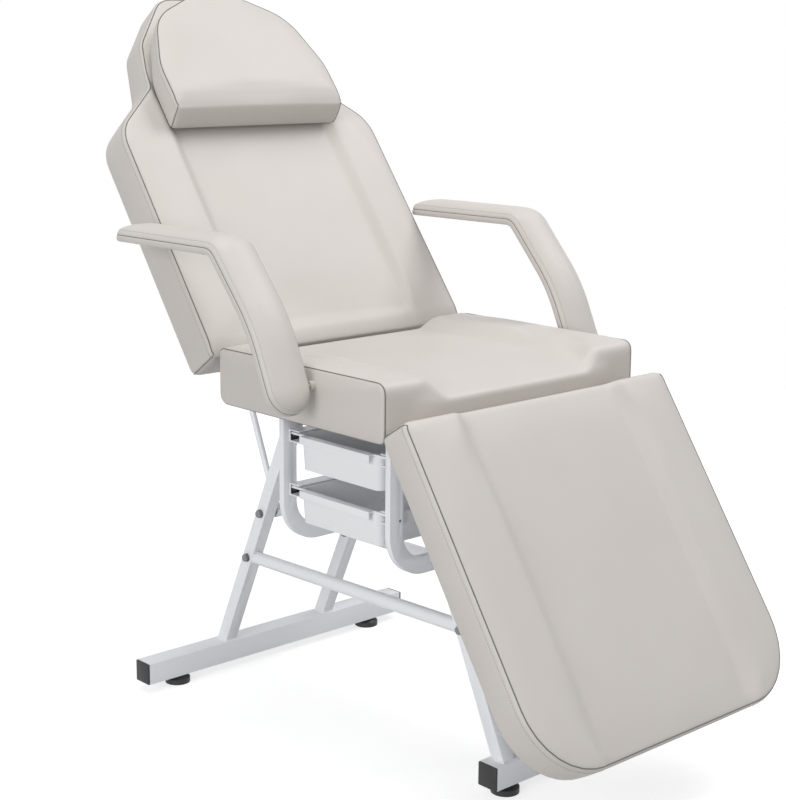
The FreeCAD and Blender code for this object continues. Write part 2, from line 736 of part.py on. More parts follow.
def tray_rail(rear, z):
    face, way = rail_face(rear)
    y0, y1 = sorted((face, face + way * RAIL_DEEP))
    rail = box(-RAIL_HALF, RAIL_HALF, y0, y1, z, z + RAIL_HIGH)
    i0, i1 = sorted((face + way * RAIL_WALL, face + way * (RAIL_DEEP + OVERRUN)))
    groove = box(-RAIL_HALF - OVERRUN, RAIL_HALF - RAIL_WALL, i0, i1, z + RAIL_WALL,
                 z + RAIL_HIGH - RAIL_WALL)
    rail = rail.cut(groove)
    for _, shank in rail_screw_places(rear, z):
        rail = rail.cut(shank)
    return rail


def rail_screw_places(rear, z):
    face, way = rail_face(rear)
    x = TRAY_BRACKET_HALF - TRAY_BRACKET_BAND / 2
    zs = z + RAIL_HIGH / 2
    places = []
    for side in SIDES.values():
        start = Vector(side * min(x, RAIL_HALF - SCREW_HEAD), face + way * RAIL_WALL, zs)
        end = start - Vector(0, way * (RAIL_WALL + TRAY_BRACKET_THICK), 0)
        places.append((start, rod_between(start, end, SCREW_DIAMETER)))
    return places


def all_rail_screws():
    screws = []
    for rear in (True, False):
        _, way = rail_face(rear)
        for z in (UPPER_RAIL_Z, LOWER_RAIL_Z):
            for start, shank in rail_screw_places(rear, z):
                head = rod_between(start, start + Vector(0, way * SCREW_HEAD_THICK, 0),
                                   SCREW_HEAD)
                screws.append(fuse([shank, head]))
    return screws


def bracket_with_holes(rear):
    band = tray_bracket(REAR_BRACKET_Y if rear else FRONT_BRACKET_Y)
    for z in (UPPER_RAIL_Z, LOWER_RAIL_Z):
        for _, shank in rail_screw_places(rear, z):
            band = band.cut(shank)
    return band


def tray(rail_z, deep):
    # A moulded tray with a rim that runs in both rails and a pull lip at its open end.
    rear_face, _ = rail_face(True)
    front_face, _ = rail_face(False)
    y0 = front_face + RAIL_DEEP + TRAY_GAP
    y1 = rear_face - RAIL_DEEP - TRAY_GAP
    rim_top = rail_z + RAIL_HIGH - RAIL_WALL - TRAY_GAP
    middle = (y0 + y1) / 2
    half_y = (y1 - y0) / 2

    def corners(half_x, half, radius):
        return [(half_x, middle - half, radius), (half_x, middle + half, radius),
                (-half_x, middle + half, radius), (-half_x, middle - half, radius)]

    def place_at(level):
        def place(point):
            return Vector(point.x, point.y, level)
        return place

    bottom = rim_top - deep
    outer = Part.makeLoft([
        outline(corners(TRAY_HALF - TRAY_WALL, half_y - TRAY_WALL, TRAY_CORNER), 0,
                place_at(bottom)),
        outline(corners(TRAY_HALF, half_y, TRAY_CORNER), 0, place_at(rim_top))], True, True)
    inner = Part.makeLoft([
        outline(corners(TRAY_HALF - 2 * TRAY_WALL, half_y - 2 * TRAY_WALL, TRAY_CORNER), 0,
                place_at(bottom + TRAY_WALL)),
        outline(corners(TRAY_HALF - TRAY_WALL, half_y - TRAY_WALL, TRAY_CORNER), 0,
                place_at(rim_top + OVERRUN))], True, True)
    run = RAIL_DEEP - RAIL_WALL - SCREW_HEAD_THICK
    rim = box(-TRAY_HALF, TRAY_HALF - RAIL_WALL - TRAY_GAP, y0 - run, y1 + run,
              rim_top - TRAY_RIM, rim_top)
    pull = box(-TRAY_HALF - TRAY_PULL_OUT, -TRAY_HALF + TRAY_CORNER, y0 + TRAY_CORNER,
               y1 - TRAY_CORNER, rim_top - TRAY_RIM, rim_top)
    drop = box(-TRAY_HALF - TRAY_PULL_OUT, -TRAY_HALF - TRAY_PULL_OUT + TRAY_WALL,
               y0 + TRAY_CORNER, y1 - TRAY_CORNER, rim_top - TRAY_PULL_HIGH, rim_top)
    return fuse([outer, rim, pull, drop]).cut(inner)


def back_corners():
    return mirrored([
        (BACK_HALF_WIDTH, 0, BACK_LOW_CORNER),
        (BACK_SHOULDER_HALF, BACK_SHOULDER, SHOULDER_ROUND),
        (BACK_NECK_HALF, BACK_NECK, NECK_ROUND),
        (BACK_HEAD_HALF, BACK_HEAD, HEAD_ROUND),
        (BACK_TOP_HALF, BACK_LENGTH, HEAD_ROUND)])


def back_slots(from_z, to_z):
    slots = []
    for side in SIDES.values():
        x0, x1 = span(side, SLOT_INNER, SLOT_OUTER)
        slots.append(box(x0, x1, BACK_START_Y - OVERRUN, BACK_START_Y + SLOT_DEEP, from_z, to_z))
    return slots


def back_board_flat(overrun):
    corners = back_corners()
    place = flat_plane(BACK_START_Y, BACK_FACE_Z - overrun, 1)(0)
    face = Part.Face(outline(corners, BOARD_INSET, place))
    return face.extrude(Vector(0, 0, BOARD + overrun))


def back_board():
    board = back_board_flat(0)
    for slot in back_slots(BACK_FACE_Z - OVERRUN, BACK_FACE_Z + BOARD + OVERRUN):
        board = board.cut(slot)
    return tilt_back(board)


def back_cushion():
    pad = layered_pad(back_corners(), pad_layers(BACK_THICK, BACK_EDGE, PANEL_LOW_SHARE, BACK_CROWN),
                      flat_plane(BACK_START_Y, BACK_FACE_Z, 1))
    pad = pad.cut(back_board_flat(OVERRUN))
    pad = pad.cut(sunk_panel(PANEL_FLAT, PANEL_HALF, BACK_DISH_DEEP,
                             BACK_START_Y + BACK_DISH_START, BACK_START_Y + BACK_DISH_END,
                             SEAT_TOP))
    top = BACK_PIVOT[1] + EAR_ROUND + SLOT_MARGIN
    for slot in back_slots(BACK_FACE_Z - OVERRUN, top):
        pad = pad.cut(slot)
    return tilt_back(pad)


def section_tube(side, start, length, way, face_z):
    half = FRAME_TUBE / 2
    x = side * SECTION_TUBE_X
    y0, y1 = sorted((start, start + way * length))
    return square_tube(x - half, x + half, y0, y1, face_z - FRAME_TUBE, face_z, "y")


def back_tube(side):
    return tilt_back(section_tube(side, BACK_START_Y + BACK_TUBE_START, BACK_TUBE_LENGTH, 1,
                                  BACK_FACE_Z))


def section_cross(y, face_z):
    half = FRAME_TUBE / 2
    reach = SECTION_TUBE_X - half
    return square_tube(-reach, reach, y - half, y + half, face_z - FRAME_TUBE, face_z, "x")


def back_cross(along):
    return tilt_back(section_cross(BACK_START_Y + along, BACK_FACE_Z))


def back_hinge_arm(side):
    y, z = BACK_PIVOT
    low = BACK_FACE_Z - FRAME_TUBE
    tube_y = BACK_START_Y + BACK_TUBE_START
    web = plate(MOVING_EAR_X, [
        (y - EAR_ROUND, low), (tube_y + BACK_EAR_REACH, low),
        (tube_y + BACK_EAR_REACH, BACK_FACE_Z), (y + EAR_ROUND, BACK_FACE_Z),
        (y + EAR_ROUND, z), (y - EAR_ROUND, z)])
    solid = fuse([web, ear_round(MOVING_EAR_X, BACK_PIVOT)])
    solid = solid.cut(ear_hole(MOVING_EAR_X, BACK_PIVOT, RUNNING))
    return tilt_back(for_side(side, solid))


def stay_top_flat():
    return (BACK_PIVOT[0] + STAY_ALONG, BACK_PIVOT[1] - STAY_BEHIND)


def stay_lug():
    y, z = stay_top_flat()
    face = SECTION_TUBE_X - FRAME_TUBE / 2
    low = z - LUG_HALF
    lug = box(-face, -face + PLATE, y - LUG_HALF, y + LUG_HALF, low, low + LUG_HALF + LUG_DEEP)
    return tilt_back(lug)


def leg_corners():
    half = LEG_HALF_WIDTH
    return mirrored([(half, 0, LEG_KNEE_CORNER), (half, LEG_LENGTH, LEG_LOW_CORNER)])


def leg_board_flat(overrun):
    place = flat_plane(LEG_START_Y, LEG_FACE_Z - overrun, -1)(0)
    face = Part.Face(outline(leg_corners(), BOARD_INSET, place))
    return face.extrude(Vector(0, 0, BOARD + overrun))


def leg_board():
    return tilt_leg(leg_board_flat(0))


def leg_cushion():
    pad = layered_pad(leg_corners(), pad_layers(LEG_THICK, LEG_EDGE, PANEL_LOW_SHARE, LEG_CROWN),
                      flat_plane(LEG_START_Y, LEG_FACE_Z, -1))
    pad = pad.cut(leg_board_flat(OVERRUN))
    end = LEG_START_Y - LEG_LENGTH - OVERRUN
    pad = pad.cut(sunk_panel(PANEL_FLAT, PANEL_HALF, LEG_DISH_DEEP, end, LEG_START_Y + OVERRUN,
                             SEAT_TOP))
    return tilt_leg(pad)


def leg_tube(side):
    return tilt_leg(section_tube(side, LEG_START_Y - LEG_TUBE_START, LEG_TUBE_LENGTH, -1,
                                 LEG_FACE_Z))


def leg_cross():
    return tilt_leg(section_cross(LEG_START_Y - LEG_CROSS, LEG_FACE_Z))


def leg_hinge_arm(side):
    y, z = LEG_PIVOT
    low = LEG_FACE_Z - FRAME_TUBE
    end = LEG_START_Y - LEG_EAR_REACH
    web = plate(MOVING_EAR_X, [
        (y, z), (end, z), (end, low), (y - EAR_ROOT, low), (y, z - EAR_ROUND)])
    solid = fuse([web, ear_round(MOVING_EAR_X, LEG_PIVOT)])
    solid = solid.cut(ear_hole(MOVING_EAR_X, LEG_PIVOT, RUNNING))
    return tilt_leg(for_side(side, solid))


def pillow_corners():
    return mirrored([
        (PILLOW_HALF_WIDTH, 0, PILLOW_LOW_CORNER),
        (PILLOW_HALF_WIDTH, PILLOW_CHEEK, PILLOW_ROUND),
        (PILLOW_BROW_HALF, PILLOW_BROW, PILLOW_ROUND),
        (PILLOW_TOP_HALF, PILLOW_LENGTH, PILLOW_ROUND)])


def headrest_pillow():
    # A wedge, thick at its square lower end and thin at its arched top.
    start = BACK_START_Y + PILLOW_START
    base = SEAT_TOP + LOOSE
    slope = math.atan((PILLOW_LOW_THICK - PILLOW_TOP_THICK) / PILLOW_LENGTH)

    def tilted(height_share, inset):
        lean = slope * height_share
        low = PILLOW_LOW_THICK * height_share

        def place(point):
            along = point.y
            return Vector(point.x, start + PILLOW_UNDERCUT * height_share
                          + along * math.cos(lean), base + low - along * math.sin(lean))
        return outline(pillow_corners(), inset, place)

    wires = [tilted(height_share, PILLOW_EDGE * inset_share)
             for height_share, inset_share in PILLOW_SECTION_SHARES]
    return tilt_back(Part.makeLoft(wires, True, True))


def arm_corners(below, above, past, short):
    # The bent armrest's outline in Y and Z: its seam line drawn out below and above, past the
    # pivot by one length and short of the rear end by another.
    y, z = ARM_PIVOT
    path = [Vector(y, z, 0), Vector(y + ARM_KNEE_BEHIND, z + ARM_KNEE_ABOVE, 0),
            Vector(y + ARM_ELBOW_BEHIND, ARM_SEAM_Z, 0), Vector(y + ARM_REAR_BEHIND, ARM_SEAM_Z, 0)]
    runs = [(far - near).normalize() for near, far in zip(path, path[1:])]
    up = [Vector(-run.y, run.x, 0) for run in runs]
    path[0] = path[0] - runs[0] * past
    path[-1] = path[-1] - runs[-1] * short
    ways = [up[0]]
    for one, two in zip(up, up[1:]):
        ways.append((one + two) * (1 / (1 + one.dot(two))))
    ways.append(up[-1])
    thick = below + above
    low_rounds = (thick * ARM_HEEL_SHARE, ARM_KNEE_ROUND, ARM_ELBOW_ROUND,
                  thick * ARM_TIP_LOW_SHARE)
    high_rounds = (thick * ARM_TOE_SHARE, ARM_KNEE_ROUND + thick, ARM_ELBOW_ROUND + thick,
                   thick * ARM_TIP_HIGH_SHARE)
    low = [point - way * below for point, way in zip(path, ways)]
    high = [point + way * above for point, way in zip(path, ways)]
    corners = [(point.x, point.y, radius) for point, radius in zip(low, low_rounds)]
    corners += [(point.x, point.y, radius) for point, radius in zip(high[::-1], high_rounds[::-1])]
    return corners


def arm_solid(half, sections):
    # Lofted across the width; the lower end is a half round about the pivot.
    inner_half = [(-across, below, above, short) for across, below, above, short in sections]
    wires = []
    for across, below, above, short in inner_half + sections[::-1]:
        past = half * math.sqrt(1 - across * across)
        x = ARM_MIDDLE + across * half

        def place(point, x=x):
            return Vector(x, point.x, point.y)

        wires.append(outline(arm_corners(below, above, past, short), 0, place))
    return Part.makeLoft(wires, True, True)


def arm_board():
    thick = ARM_CORE_THICK / 2
    sections = [(across, thick, thick, ARM_CORE_INSET) for across in ARM_CORE_ACROSS_SHARES]
    return arm_solid(ARM_HALF_WIDTH - ARM_CORE_INSET, sections)


def arm_core(side):
    bore = cross_rod(ARM_INNER, ARM_MIDDLE + RUNNING, *ARM_PIVOT, ARM_SHAFT + 2 * RUNNING)
    return for_side(side, arm_board().cut(bore))


def arm_pad(side):
    sections = [(across, ARM_BELOW * low_share, ARM_CROWN * high_share, ARM_TIP_DRAW * end_share)
                for across, low_share, high_share, end_share in ARM_SECTION_SHARES]
    pad = arm_solid(ARM_HALF_WIDTH, sections).cut(arm_board())
    pad = pad.cut(cross_rod(ARM_INNER - OVERRUN, ARM_MIDDLE, *ARM_PIVOT, ARM_SHAFT + 2 * LOOSE))
    return for_side(side, pad)


def stay_points():
    low = (leg_centre(STAY_BOLT_Z), STAY_BOLT_Z)
    high = turned_point(stay_top_flat(), BACK_PIVOT, BACK_REST_ANGLE)
    start = Vector(-STAY_X, *low)
    end = Vector(-STAY_X, *high)
    return start, end, (end - start).normalize()


def stay_eye(point, bore):
    half = STAY_EYE_WIDE / 2
    eye = cross_rod(point.x - half, point.x + half, point.y, point.z, STAY_EYE_DIAMETER)
    if bore:
        eye = eye.cut(cross_rod(point.x - STAY_EYE_WIDE, point.x + STAY_EYE_WIDE, point.y,
                                point.z, bore))
    return eye


def stay_rod():
    start, _, run = stay_points()
    bore = BOLT_DIAMETER + 2 * RUNNING
    rod = rod_between(start, start + run * STAY_ROD_LENGTH, STAY_ROD)
    piston_bore = STAY_TUBE - 2 * STAY_TUBE_WALL - 2 * RUNNING
    top = start + run * STAY_ROD_LENGTH
    piston = rod_between(top - run * STAY_PISTON, top, piston_bore)
    solid = fuse([rod, piston, stay_eye(start, 0)])
    return solid.cut(cross_rod(start.x - STAY_EYE_WIDE, start.x + STAY_EYE_WIDE, start.y,
                               start.z, bore))


def stay_tube():
    _, end, run = stay_points()
    low = end - run * STAY_TUBE_LENGTH
    tube = rod_between(low, end - run * STAY_TUBE_INTO_EYE, STAY_TUBE)
    bore_end = end - run * STAY_EYE_DIAMETER
    tube = tube.cut(rod_between(low + run * STAY_GUIDE, bore_end,
                                STAY_TUBE - 2 * STAY_TUBE_WALL))
    tube = tube.cut(rod_between(low - run * OVERRUN, low + run * (STAY_GUIDE + OVERRUN),
                                STAY_ROD + 2 * RUNNING))
    lug_face = SECTION_TUBE_X - FRAME_TUBE / 2 - PLATE
    half = STAY_EYE_WIDE / 2
    stud = cross_rod(-lug_face + LOOSE, end.x + half + PLATE, end.y, end.z, STAY_STUD)
    head = cross_rod(end.x + half, end.x + half + PLATE, end.y, end.z, STAY_STUD + PLATE)
    return fuse([tube, stay_eye(end, 0), stud, head])


def save(name, shape):
    moved = shape.copy()
    moved.translate(Vector(0, SEAT_REAR_Y, 0))
    moved.exportStep(os.path.join("parts", name + ".step"))


def save_trestle():
    save("rear_floor_bar", floor_bar(REAR_BAR_BEHIND, REAR_BAR_HALF, REAR_FOOT_X))
    save("front_floor_bar", floor_bar(FRONT_BAR_Y, FRONT_BAR_HALF, FRONT_FOOT_X))
    save("floor_bar_end_caps", end_caps())
    for name, side in SIDES.items():
        save("rear_leg_" + name, trestle_leg(side, False))
        save("front_leg_" + name, trestle_leg(side, True))
        save("stretcher_" + name, stretcher(side))
        save("rear_foot_" + name, foot(side * REAR_FOOT_X, REAR_BAR_BEHIND))
        save("front_foot_" + name, foot(side * FRONT_FOOT_X, FRONT_BAR_Y))
    save("stretcher_bolts", stretcher_bolts())
    save("frame_nuts", frame_nuts())
    save("stay_bolt", stay_bolt())


def save_seat():
    save("seat_cross_rear", seat_cross(LEG_TOP_BEHIND))
    save("seat_cross_front", seat_cross(LEG_TOP_FRONT))
    for name, side in SIDES.items():
        save("seat_rail_" + name, seat_rail(side))
        save("leg_hinge_bracket_" + name, leg_hinge_bracket(side))
        save("back_hinge_plate_" + name, back_hinge_plate(side))
    save("hinge_pins", hinge_pins())
    save("seat_board", seat_board())
    save("seat_cushion", seat_cushion())
    save("arm_pivot_shafts", arm_pivot_shafts())


def save_trays():
    for place, rear in (("rear", True), ("front", False)):
        save("tray_bracket_" + place, bracket_with_holes(rear))
        save("tray_rail_upper_" + place, tray_rail(rear, UPPER_RAIL_Z))
        save("tray_rail_lower_" + place, tray_rail(rear, LOWER_RAIL_Z))
    save("tray_rail_screws", Part.makeCompound(all_rail_screws()))
    save("tray_upper", tray(UPPER_RAIL_Z, UPPER_TRAY_DEEP))
    save("tray_lower", tray(LOWER_RAIL_Z, LOWER_TRAY_DEEP))


def save_back():
    save("back_board", back_board())
    save("back_cushion", back_cushion())
    save("headrest_pillow", headrest_pillow())
    save("back_cross_lower", back_cross(BACK_CROSS_LOW))
    save("back_cross_upper", back_cross(BACK_CROSS_HIGH))
    for name, side in SIDES.items():
        save("back_tube_" + name, back_tube(side))
        save("back_hinge_arm_" + name, back_hinge_arm(side))
    save("stay_lug", stay_lug())
    save("stay_rod", stay_rod())
    save("stay_tube", stay_tube())


def save_leg_rest():
    save("leg_rest_board", leg_board())
    save("leg_rest_cushion", leg_cushion())
    save("leg_rest_cross", leg_cross())
    for name, side in SIDES.items():
        save("leg_rest_tube_" + name, leg_tube(side))
        save("leg_hinge_arm_" + name, leg_hinge_arm(side))


def save_arms():
    for name, side in SIDES.items():
        save("armrest_core_" + name, arm_core(side))
        save("armrest_pad_" + name, arm_pad(side))


os.makedirs("parts", exist_ok=True)
save_trestle()
save_seat()
save_trays()
save_back()
save_leg_rest()
save_arms()
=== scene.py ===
import json
import math

import bmesh
import bpy
import numpy as np
from mathutils import Matrix, Vector

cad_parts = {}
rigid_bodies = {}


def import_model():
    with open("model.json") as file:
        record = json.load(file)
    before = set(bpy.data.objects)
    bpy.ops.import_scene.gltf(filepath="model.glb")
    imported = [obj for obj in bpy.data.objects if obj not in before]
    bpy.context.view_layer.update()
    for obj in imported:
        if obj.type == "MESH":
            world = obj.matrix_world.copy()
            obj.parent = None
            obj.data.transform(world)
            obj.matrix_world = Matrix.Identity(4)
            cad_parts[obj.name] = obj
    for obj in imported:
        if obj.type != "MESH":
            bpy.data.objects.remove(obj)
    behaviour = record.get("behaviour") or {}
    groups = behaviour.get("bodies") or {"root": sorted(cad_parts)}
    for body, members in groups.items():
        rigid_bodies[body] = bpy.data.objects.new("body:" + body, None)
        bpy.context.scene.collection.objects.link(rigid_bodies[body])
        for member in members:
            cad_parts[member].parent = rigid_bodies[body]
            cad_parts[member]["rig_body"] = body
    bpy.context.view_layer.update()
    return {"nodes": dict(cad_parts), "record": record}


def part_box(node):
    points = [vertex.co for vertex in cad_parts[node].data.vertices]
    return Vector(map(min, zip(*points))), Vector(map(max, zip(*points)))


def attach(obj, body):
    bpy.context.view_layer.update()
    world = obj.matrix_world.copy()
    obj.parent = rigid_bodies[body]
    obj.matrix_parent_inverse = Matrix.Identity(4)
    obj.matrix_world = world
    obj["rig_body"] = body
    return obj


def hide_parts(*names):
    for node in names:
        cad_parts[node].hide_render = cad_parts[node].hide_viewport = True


# The dressed tattoo chair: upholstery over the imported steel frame. Metres, +Z up, the sitter
# faces -Y. Pads are shaped lying flat, in millimetres, then carried to their section's tilt.

MM = 0.001

# Hinges, and where each section's flat outline starts before its tilt, in metres
SEAT_REAR = 0.13157
BACK_PIVOT = Vector((0, 0.16257, 0.652))
BACK_START = Vector((0, SEAT_REAR + 0.030, 0.603))
BACK_TILT = math.radians(54)
LEG_PIVOT = Vector((0, -0.28243, 0.622))
LEG_START = Vector((0, SEAT_REAR - 0.433, 0.622))
LEG_TILT = math.radians(57)
PILLOW_START = Vector((0, SEAT_REAR + 0.485, 0.6863))

# Camera, fitted to the photograph
PHOTO_SIZE = (786, 800)
PHOTO_CENTRE = (331.446, 361.239)
CAMERA_PLACE = Vector((-1.9765, -2.10663, 1.1909))
CAMERA_TURN = math.radians(-40.851)
CAMERA_DOWN = math.radians(10.742)
CAMERA_LENS = 75.488
SENSOR = 36

# How full the pads are, and their seams in millimetres: the radii and step of the dark cords of
# painted seam shade, and how deep the seams sink
SEAM_RADIUS = 1.0
ARM_SEAM_RADIUS = 0.9
CORNER_SEAM_RADIUS = 0.6
SEAM_STEP = 5
SEAM_SUNK = 0.6
ARM_SEAM_SUNK = 0.8

# Cloth run: frames, air pressure, and the least travel it divides by
PUFF_FRAMES = 20
PUFF_PRESSURE = 4.0
TRAVEL_LEAST = 1e-9

# Steel and tray details, in metres; the black sheet of painted shade lies 0.05 mm clear of a
# rail's 2 mm wall
MERGE_WITHIN = 2e-6
FOOT_BAND = 1e-4
SHADE_SHEET_INSET = 2.05 * MM
SHADE_SHEET_THICK = 0.9 * MM

# Steps of a rounded corner and of an armrest's bend, and the angle that still shades smooth
ARC_STEPS = 8
BEND_STEPS = 24
SHARP_ANGLE = math.radians(50)

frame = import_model()


# Shader arithmetic and finishes

class Wire:
    """An output socket of a shader, with arithmetic."""

    def __init__(self, finish, socket):
        self.finish = finish
        self.socket = socket

    def maths(self, operation, *values):
        return self.finish.node("ShaderNodeMath", {"operation": operation},
                                dict(enumerate(values)))

    def __add__(self, other):
        return self.maths("ADD", self, other)

    def __mul__(self, other):
        return self.maths("MULTIPLY", self, other)

    __radd__ = __add__


class Finish:
    """A material under construction, or the world's light."""

    def __init__(self, name, world=None):
        self.material = world or bpy.data.materials.new(name)
        self.material.use_nodes = True
        self.tree = self.material.node_tree
        self.tree.nodes.clear()

    def node(self, kind, settings=(), sockets=(), output=0):
        made = self.tree.nodes.new(kind)
        for key, value in dict(settings).items():
            if key == "stops":
                for stop, (place, colour) in zip(made.color_ramp.elements, value):
                    stop.position = place
                    stop.color = colour
            else:
                setattr(made, key, value)
        for key, value in dict(sockets).items():
            if isinstance(value, Wire):
                self.tree.links.new(value.socket, made.inputs[key])
            else:
                made.inputs[key].default_value = value
        return None if output is None else Wire(self, made.outputs[output])

    def place(self, stretch=(1, 1, 1)):
        where = self.node("ShaderNodeTexCoord", output=3)
        return self.node("ShaderNodeMapping", {}, {"Vector": where, "Scale": stretch})

    def noise(self, where, scale, detail=2.0, rough=0.5):
        return self.node("ShaderNodeTexNoise", {},
                         {"Vector": where, "Scale": scale, "Detail": detail,
                          "Roughness": rough})

    def cells(self, where, scale, feature="F1", randomness=1.0):
        return self.node("ShaderNodeTexVoronoi", {"feature": feature},
                         {"Vector": where, "Scale": scale, "Randomness": randomness})

    def blend(self, share, first, second):
        return self.node("ShaderNodeMix", {"data_type": "RGBA"},
                         {0: share, 6: first, 7: second}, output=2)

    def bump(self, height, strength, depth):
        return self.node("ShaderNodeBump", {},
                         {"Height": height, "Strength": strength, "Distance": depth})

    def seen_directly(self):
        """1 where a camera, mirror or glass ray arrives."""
        rays = [self.node("ShaderNodeLightPath", output=kind) for kind in
                ("Is Camera Ray", "Is Glossy Ray", "Is Transmission Ray")]
        return rays[0] + rays[1] + rays[2]

    def finished(self, **sockets):
        return self.ended(self.node("ShaderNodeBsdfPrincipled", {}, sockets))

    def ended(self, surface, kind="ShaderNodeOutputMaterial"):
        self.node(kind, {}, {"Surface": surface}, output=None)
        return self.material


def upholstery_leather(name, pale, shade):
    leather = Finish(name)
    where = leather.place()
    cloud = leather.noise(where, 7.0, 3.0)
    pebble = leather.cells(where, 620.0)
    fold = leather.cells(where, 210.0, "DISTANCE_TO_EDGE")
    pores = leather.noise(where, 2300.0, 1.0)
    colour = leather.blend(cloud * 0.9 + pebble * 0.1, pale + (1,), shade + (1,))
    height = pebble * 0.55 + pores * 0.25 + fold * 0.6
    return leather.finished(**{
        "Base Color": colour, "Roughness": 0.43 + (cloud * 0.1 + pores * 0.06),
        "Specular IOR Level": 0.42, "Coat Weight": 0.04, "Coat Roughness": 0.4,
        "Normal": leather.bump(height, 0.16, 0.0005)})


def powder_coat():
    coat = Finish("white_powder_coat")
    where = coat.place()
    peel = coat.noise(where, 420.0, 2.0)
    cloud = coat.noise(where, 5.0, 2.0)
    colour = coat.blend(cloud, (0.85, 0.862, 0.89, 1), (0.88, 0.892, 0.918, 1))
    return coat.finished(**{
        "Base Color": colour, "Roughness": 0.26 + peel * 0.12, "Specular IOR Level": 0.5,
        "Normal": coat.bump(peel, 0.10, 0.0004)})


def tray_moulding():
    plastic = Finish("white_tray_moulding")
    where = plastic.place()
    spark = plastic.noise(where, 1500.0, 1.0)
    cloud = plastic.noise(where, 9.0, 2.0)
    colour = plastic.blend(cloud, (0.86, 0.868, 0.885, 1), (0.89, 0.898, 0.912, 1))
    return plastic.finished(**{
        "Base Color": colour, "Roughness": 0.34 + spark * 0.12,
        "Normal": plastic.bump(spark, 0.07, 0.0003)})


def black_moulding():
    plastic = Finish("black_foot_moulding")
    where = plastic.place()
    grain = plastic.cells(where, 900.0)
    dust = plastic.noise(where, 60.0, 4.0)
    colour = plastic.blend(dust * 0.7, (0.012, 0.012, 0.013, 1), (0.035, 0.035, 0.037, 1))
    return plastic.finished(**{
        "Base Color": colour, "Roughness": 0.38 + dust * 0.2,
        "Normal": plastic.bump(grain, 0.2, 0.0003)})


def dark_steel():
    steel = Finish("darkened_bolt_steel")
    where = steel.place((1, 60, 60))
    turning = steel.noise(where, 90.0, 2.0)
    stain = steel.noise(steel.place(), 300.0, 3.0)
    colour = steel.blend(stain, (0.16, 0.165, 0.18, 1), (0.27, 0.275, 0.29, 1))
    return steel.finished(**{
        "Base Color": colour, "Metallic": 0.9, "Roughness": 0.26 + stain * 0.2,
        "Normal": steel.bump(turning, 0.08, 0.0003)})


def staple_wire():
    steel = Finish("staple_wire")
    where = steel.place((60, 1, 1))
    ring = steel.noise(where, 40.0, 2.0)
    colour = steel.blend(ring, (0.60, 0.61, 0.63, 1), (0.70, 0.71, 0.73, 1))
    return steel.finished(**{
        "Base Color": colour, "Metallic": 1.0, "Roughness": 0.16 + ring * 0.08,
        "Normal": steel.bump(ring, 0.03, 0.0002)})


def dust_cover():
    cloth = Finish("bonded_dust_cover")
    where = cloth.place()
    fibres = cloth.noise(cloth.place((1, 9, 9)), 160.0, 4.0)
    across = cloth.noise(cloth.place((9, 1, 1)), 150.0, 4.0)
    dots = cloth.cells(where, 330.0, randomness=0.0)
    colour = cloth.blend(fibres * 0.6 + across * 0.4, (0.40, 0.40, 0.405, 1),
                         (0.56, 0.56, 0.565, 1))
    return cloth.finished(**{
        "Base Color": colour, "Roughness": 0.86, "Sheen Weight": 0.2,
        "Normal": cloth.bump(fibres + across + dots * 1.5, 0.45, 0.0006)})


def thread_and_painted_seam_shade(name, dark, light):
    thread = Finish(name)
    where = thread.place()
    twist = thread.noise(where, 900.0, 2.0)
    colour = thread.blend(twist, dark + (1,), light + (1,))
    return thread.finished(**{
        "Base Color": colour, "Roughness": 0.7,
        "Normal": thread.bump(twist, 0.4, 0.0003)})


def arm_plywood():
    wood = Finish("armrest_plywood")
    where = wood.place((2, 1, 14))
    grain = wood.noise(where, 14.0, 5.0)
    colour = wood.blend(grain, (0.42, 0.28, 0.16, 1), (0.60, 0.44, 0.28, 1))
    return wood.finished(**{
        "Base Color": colour, "Roughness": 0.62 + grain * 0.15,
        "Normal": wood.bump(grain, 0.2, 0.0005)})


PALE = (0.575, 0.542, 0.512)
SHADE = (0.535, 0.500, 0.468)
LEATHER = upholstery_leather("upholstery_leather", PALE, SHADE)
COAT = powder_coat()
TRAY = tray_moulding()
BLACK = black_moulding()
BOLT = dark_steel()
STAPLE = staple_wire()
COVER = dust_cover()
# Painted shade: the near-black seam cords stand for the shade in the leather's seam folds; the
# stitching thread below is the thread's own colour.
SEAM_SHADE = thread_and_painted_seam_shade("seam_fold_painted_shade", (0.10, 0.095, 0.09), (0.20, 0.19, 0.18))
THREAD = thread_and_painted_seam_shade("stitching_thread", (0.30, 0.285, 0.27), (0.45, 0.43, 0.41))
WOOD = arm_plywood()


# Outlines with rounded corners

def drawn_in(corners, inset):
    """The corners of an outline moved inwards by the inset, with their new radii."""
    count = len(corners)
    lines = []
    for index, (x, s, _) in enumerate(corners):
        nx, ns, _ = corners[(index + 1) % count]
        length = math.hypot(nx - x, ns - s)
        dx = (nx - x) / length
        ds = (ns - s) / length
        lines.append((x - ds * inset, s + dx * inset, dx, ds))
    moved = []
    for index in range(count):
        x0, s0, dx0, ds0 = lines[index - 1]
        x1, s1, dx1, ds1 = lines[index]
        cross = dx0 * ds1 - ds0 * dx1
        along = ((x1 - x0) * ds1 - (s1 - s0) * dx1) / cross
        convex = 1 if cross > 0 else -1
        radius = max(corners[index][2] - convex * inset, corners[index][2] / 8)
        moved.append((x0 + dx0 * along, s0 + ds0 * along, radius))
    return moved


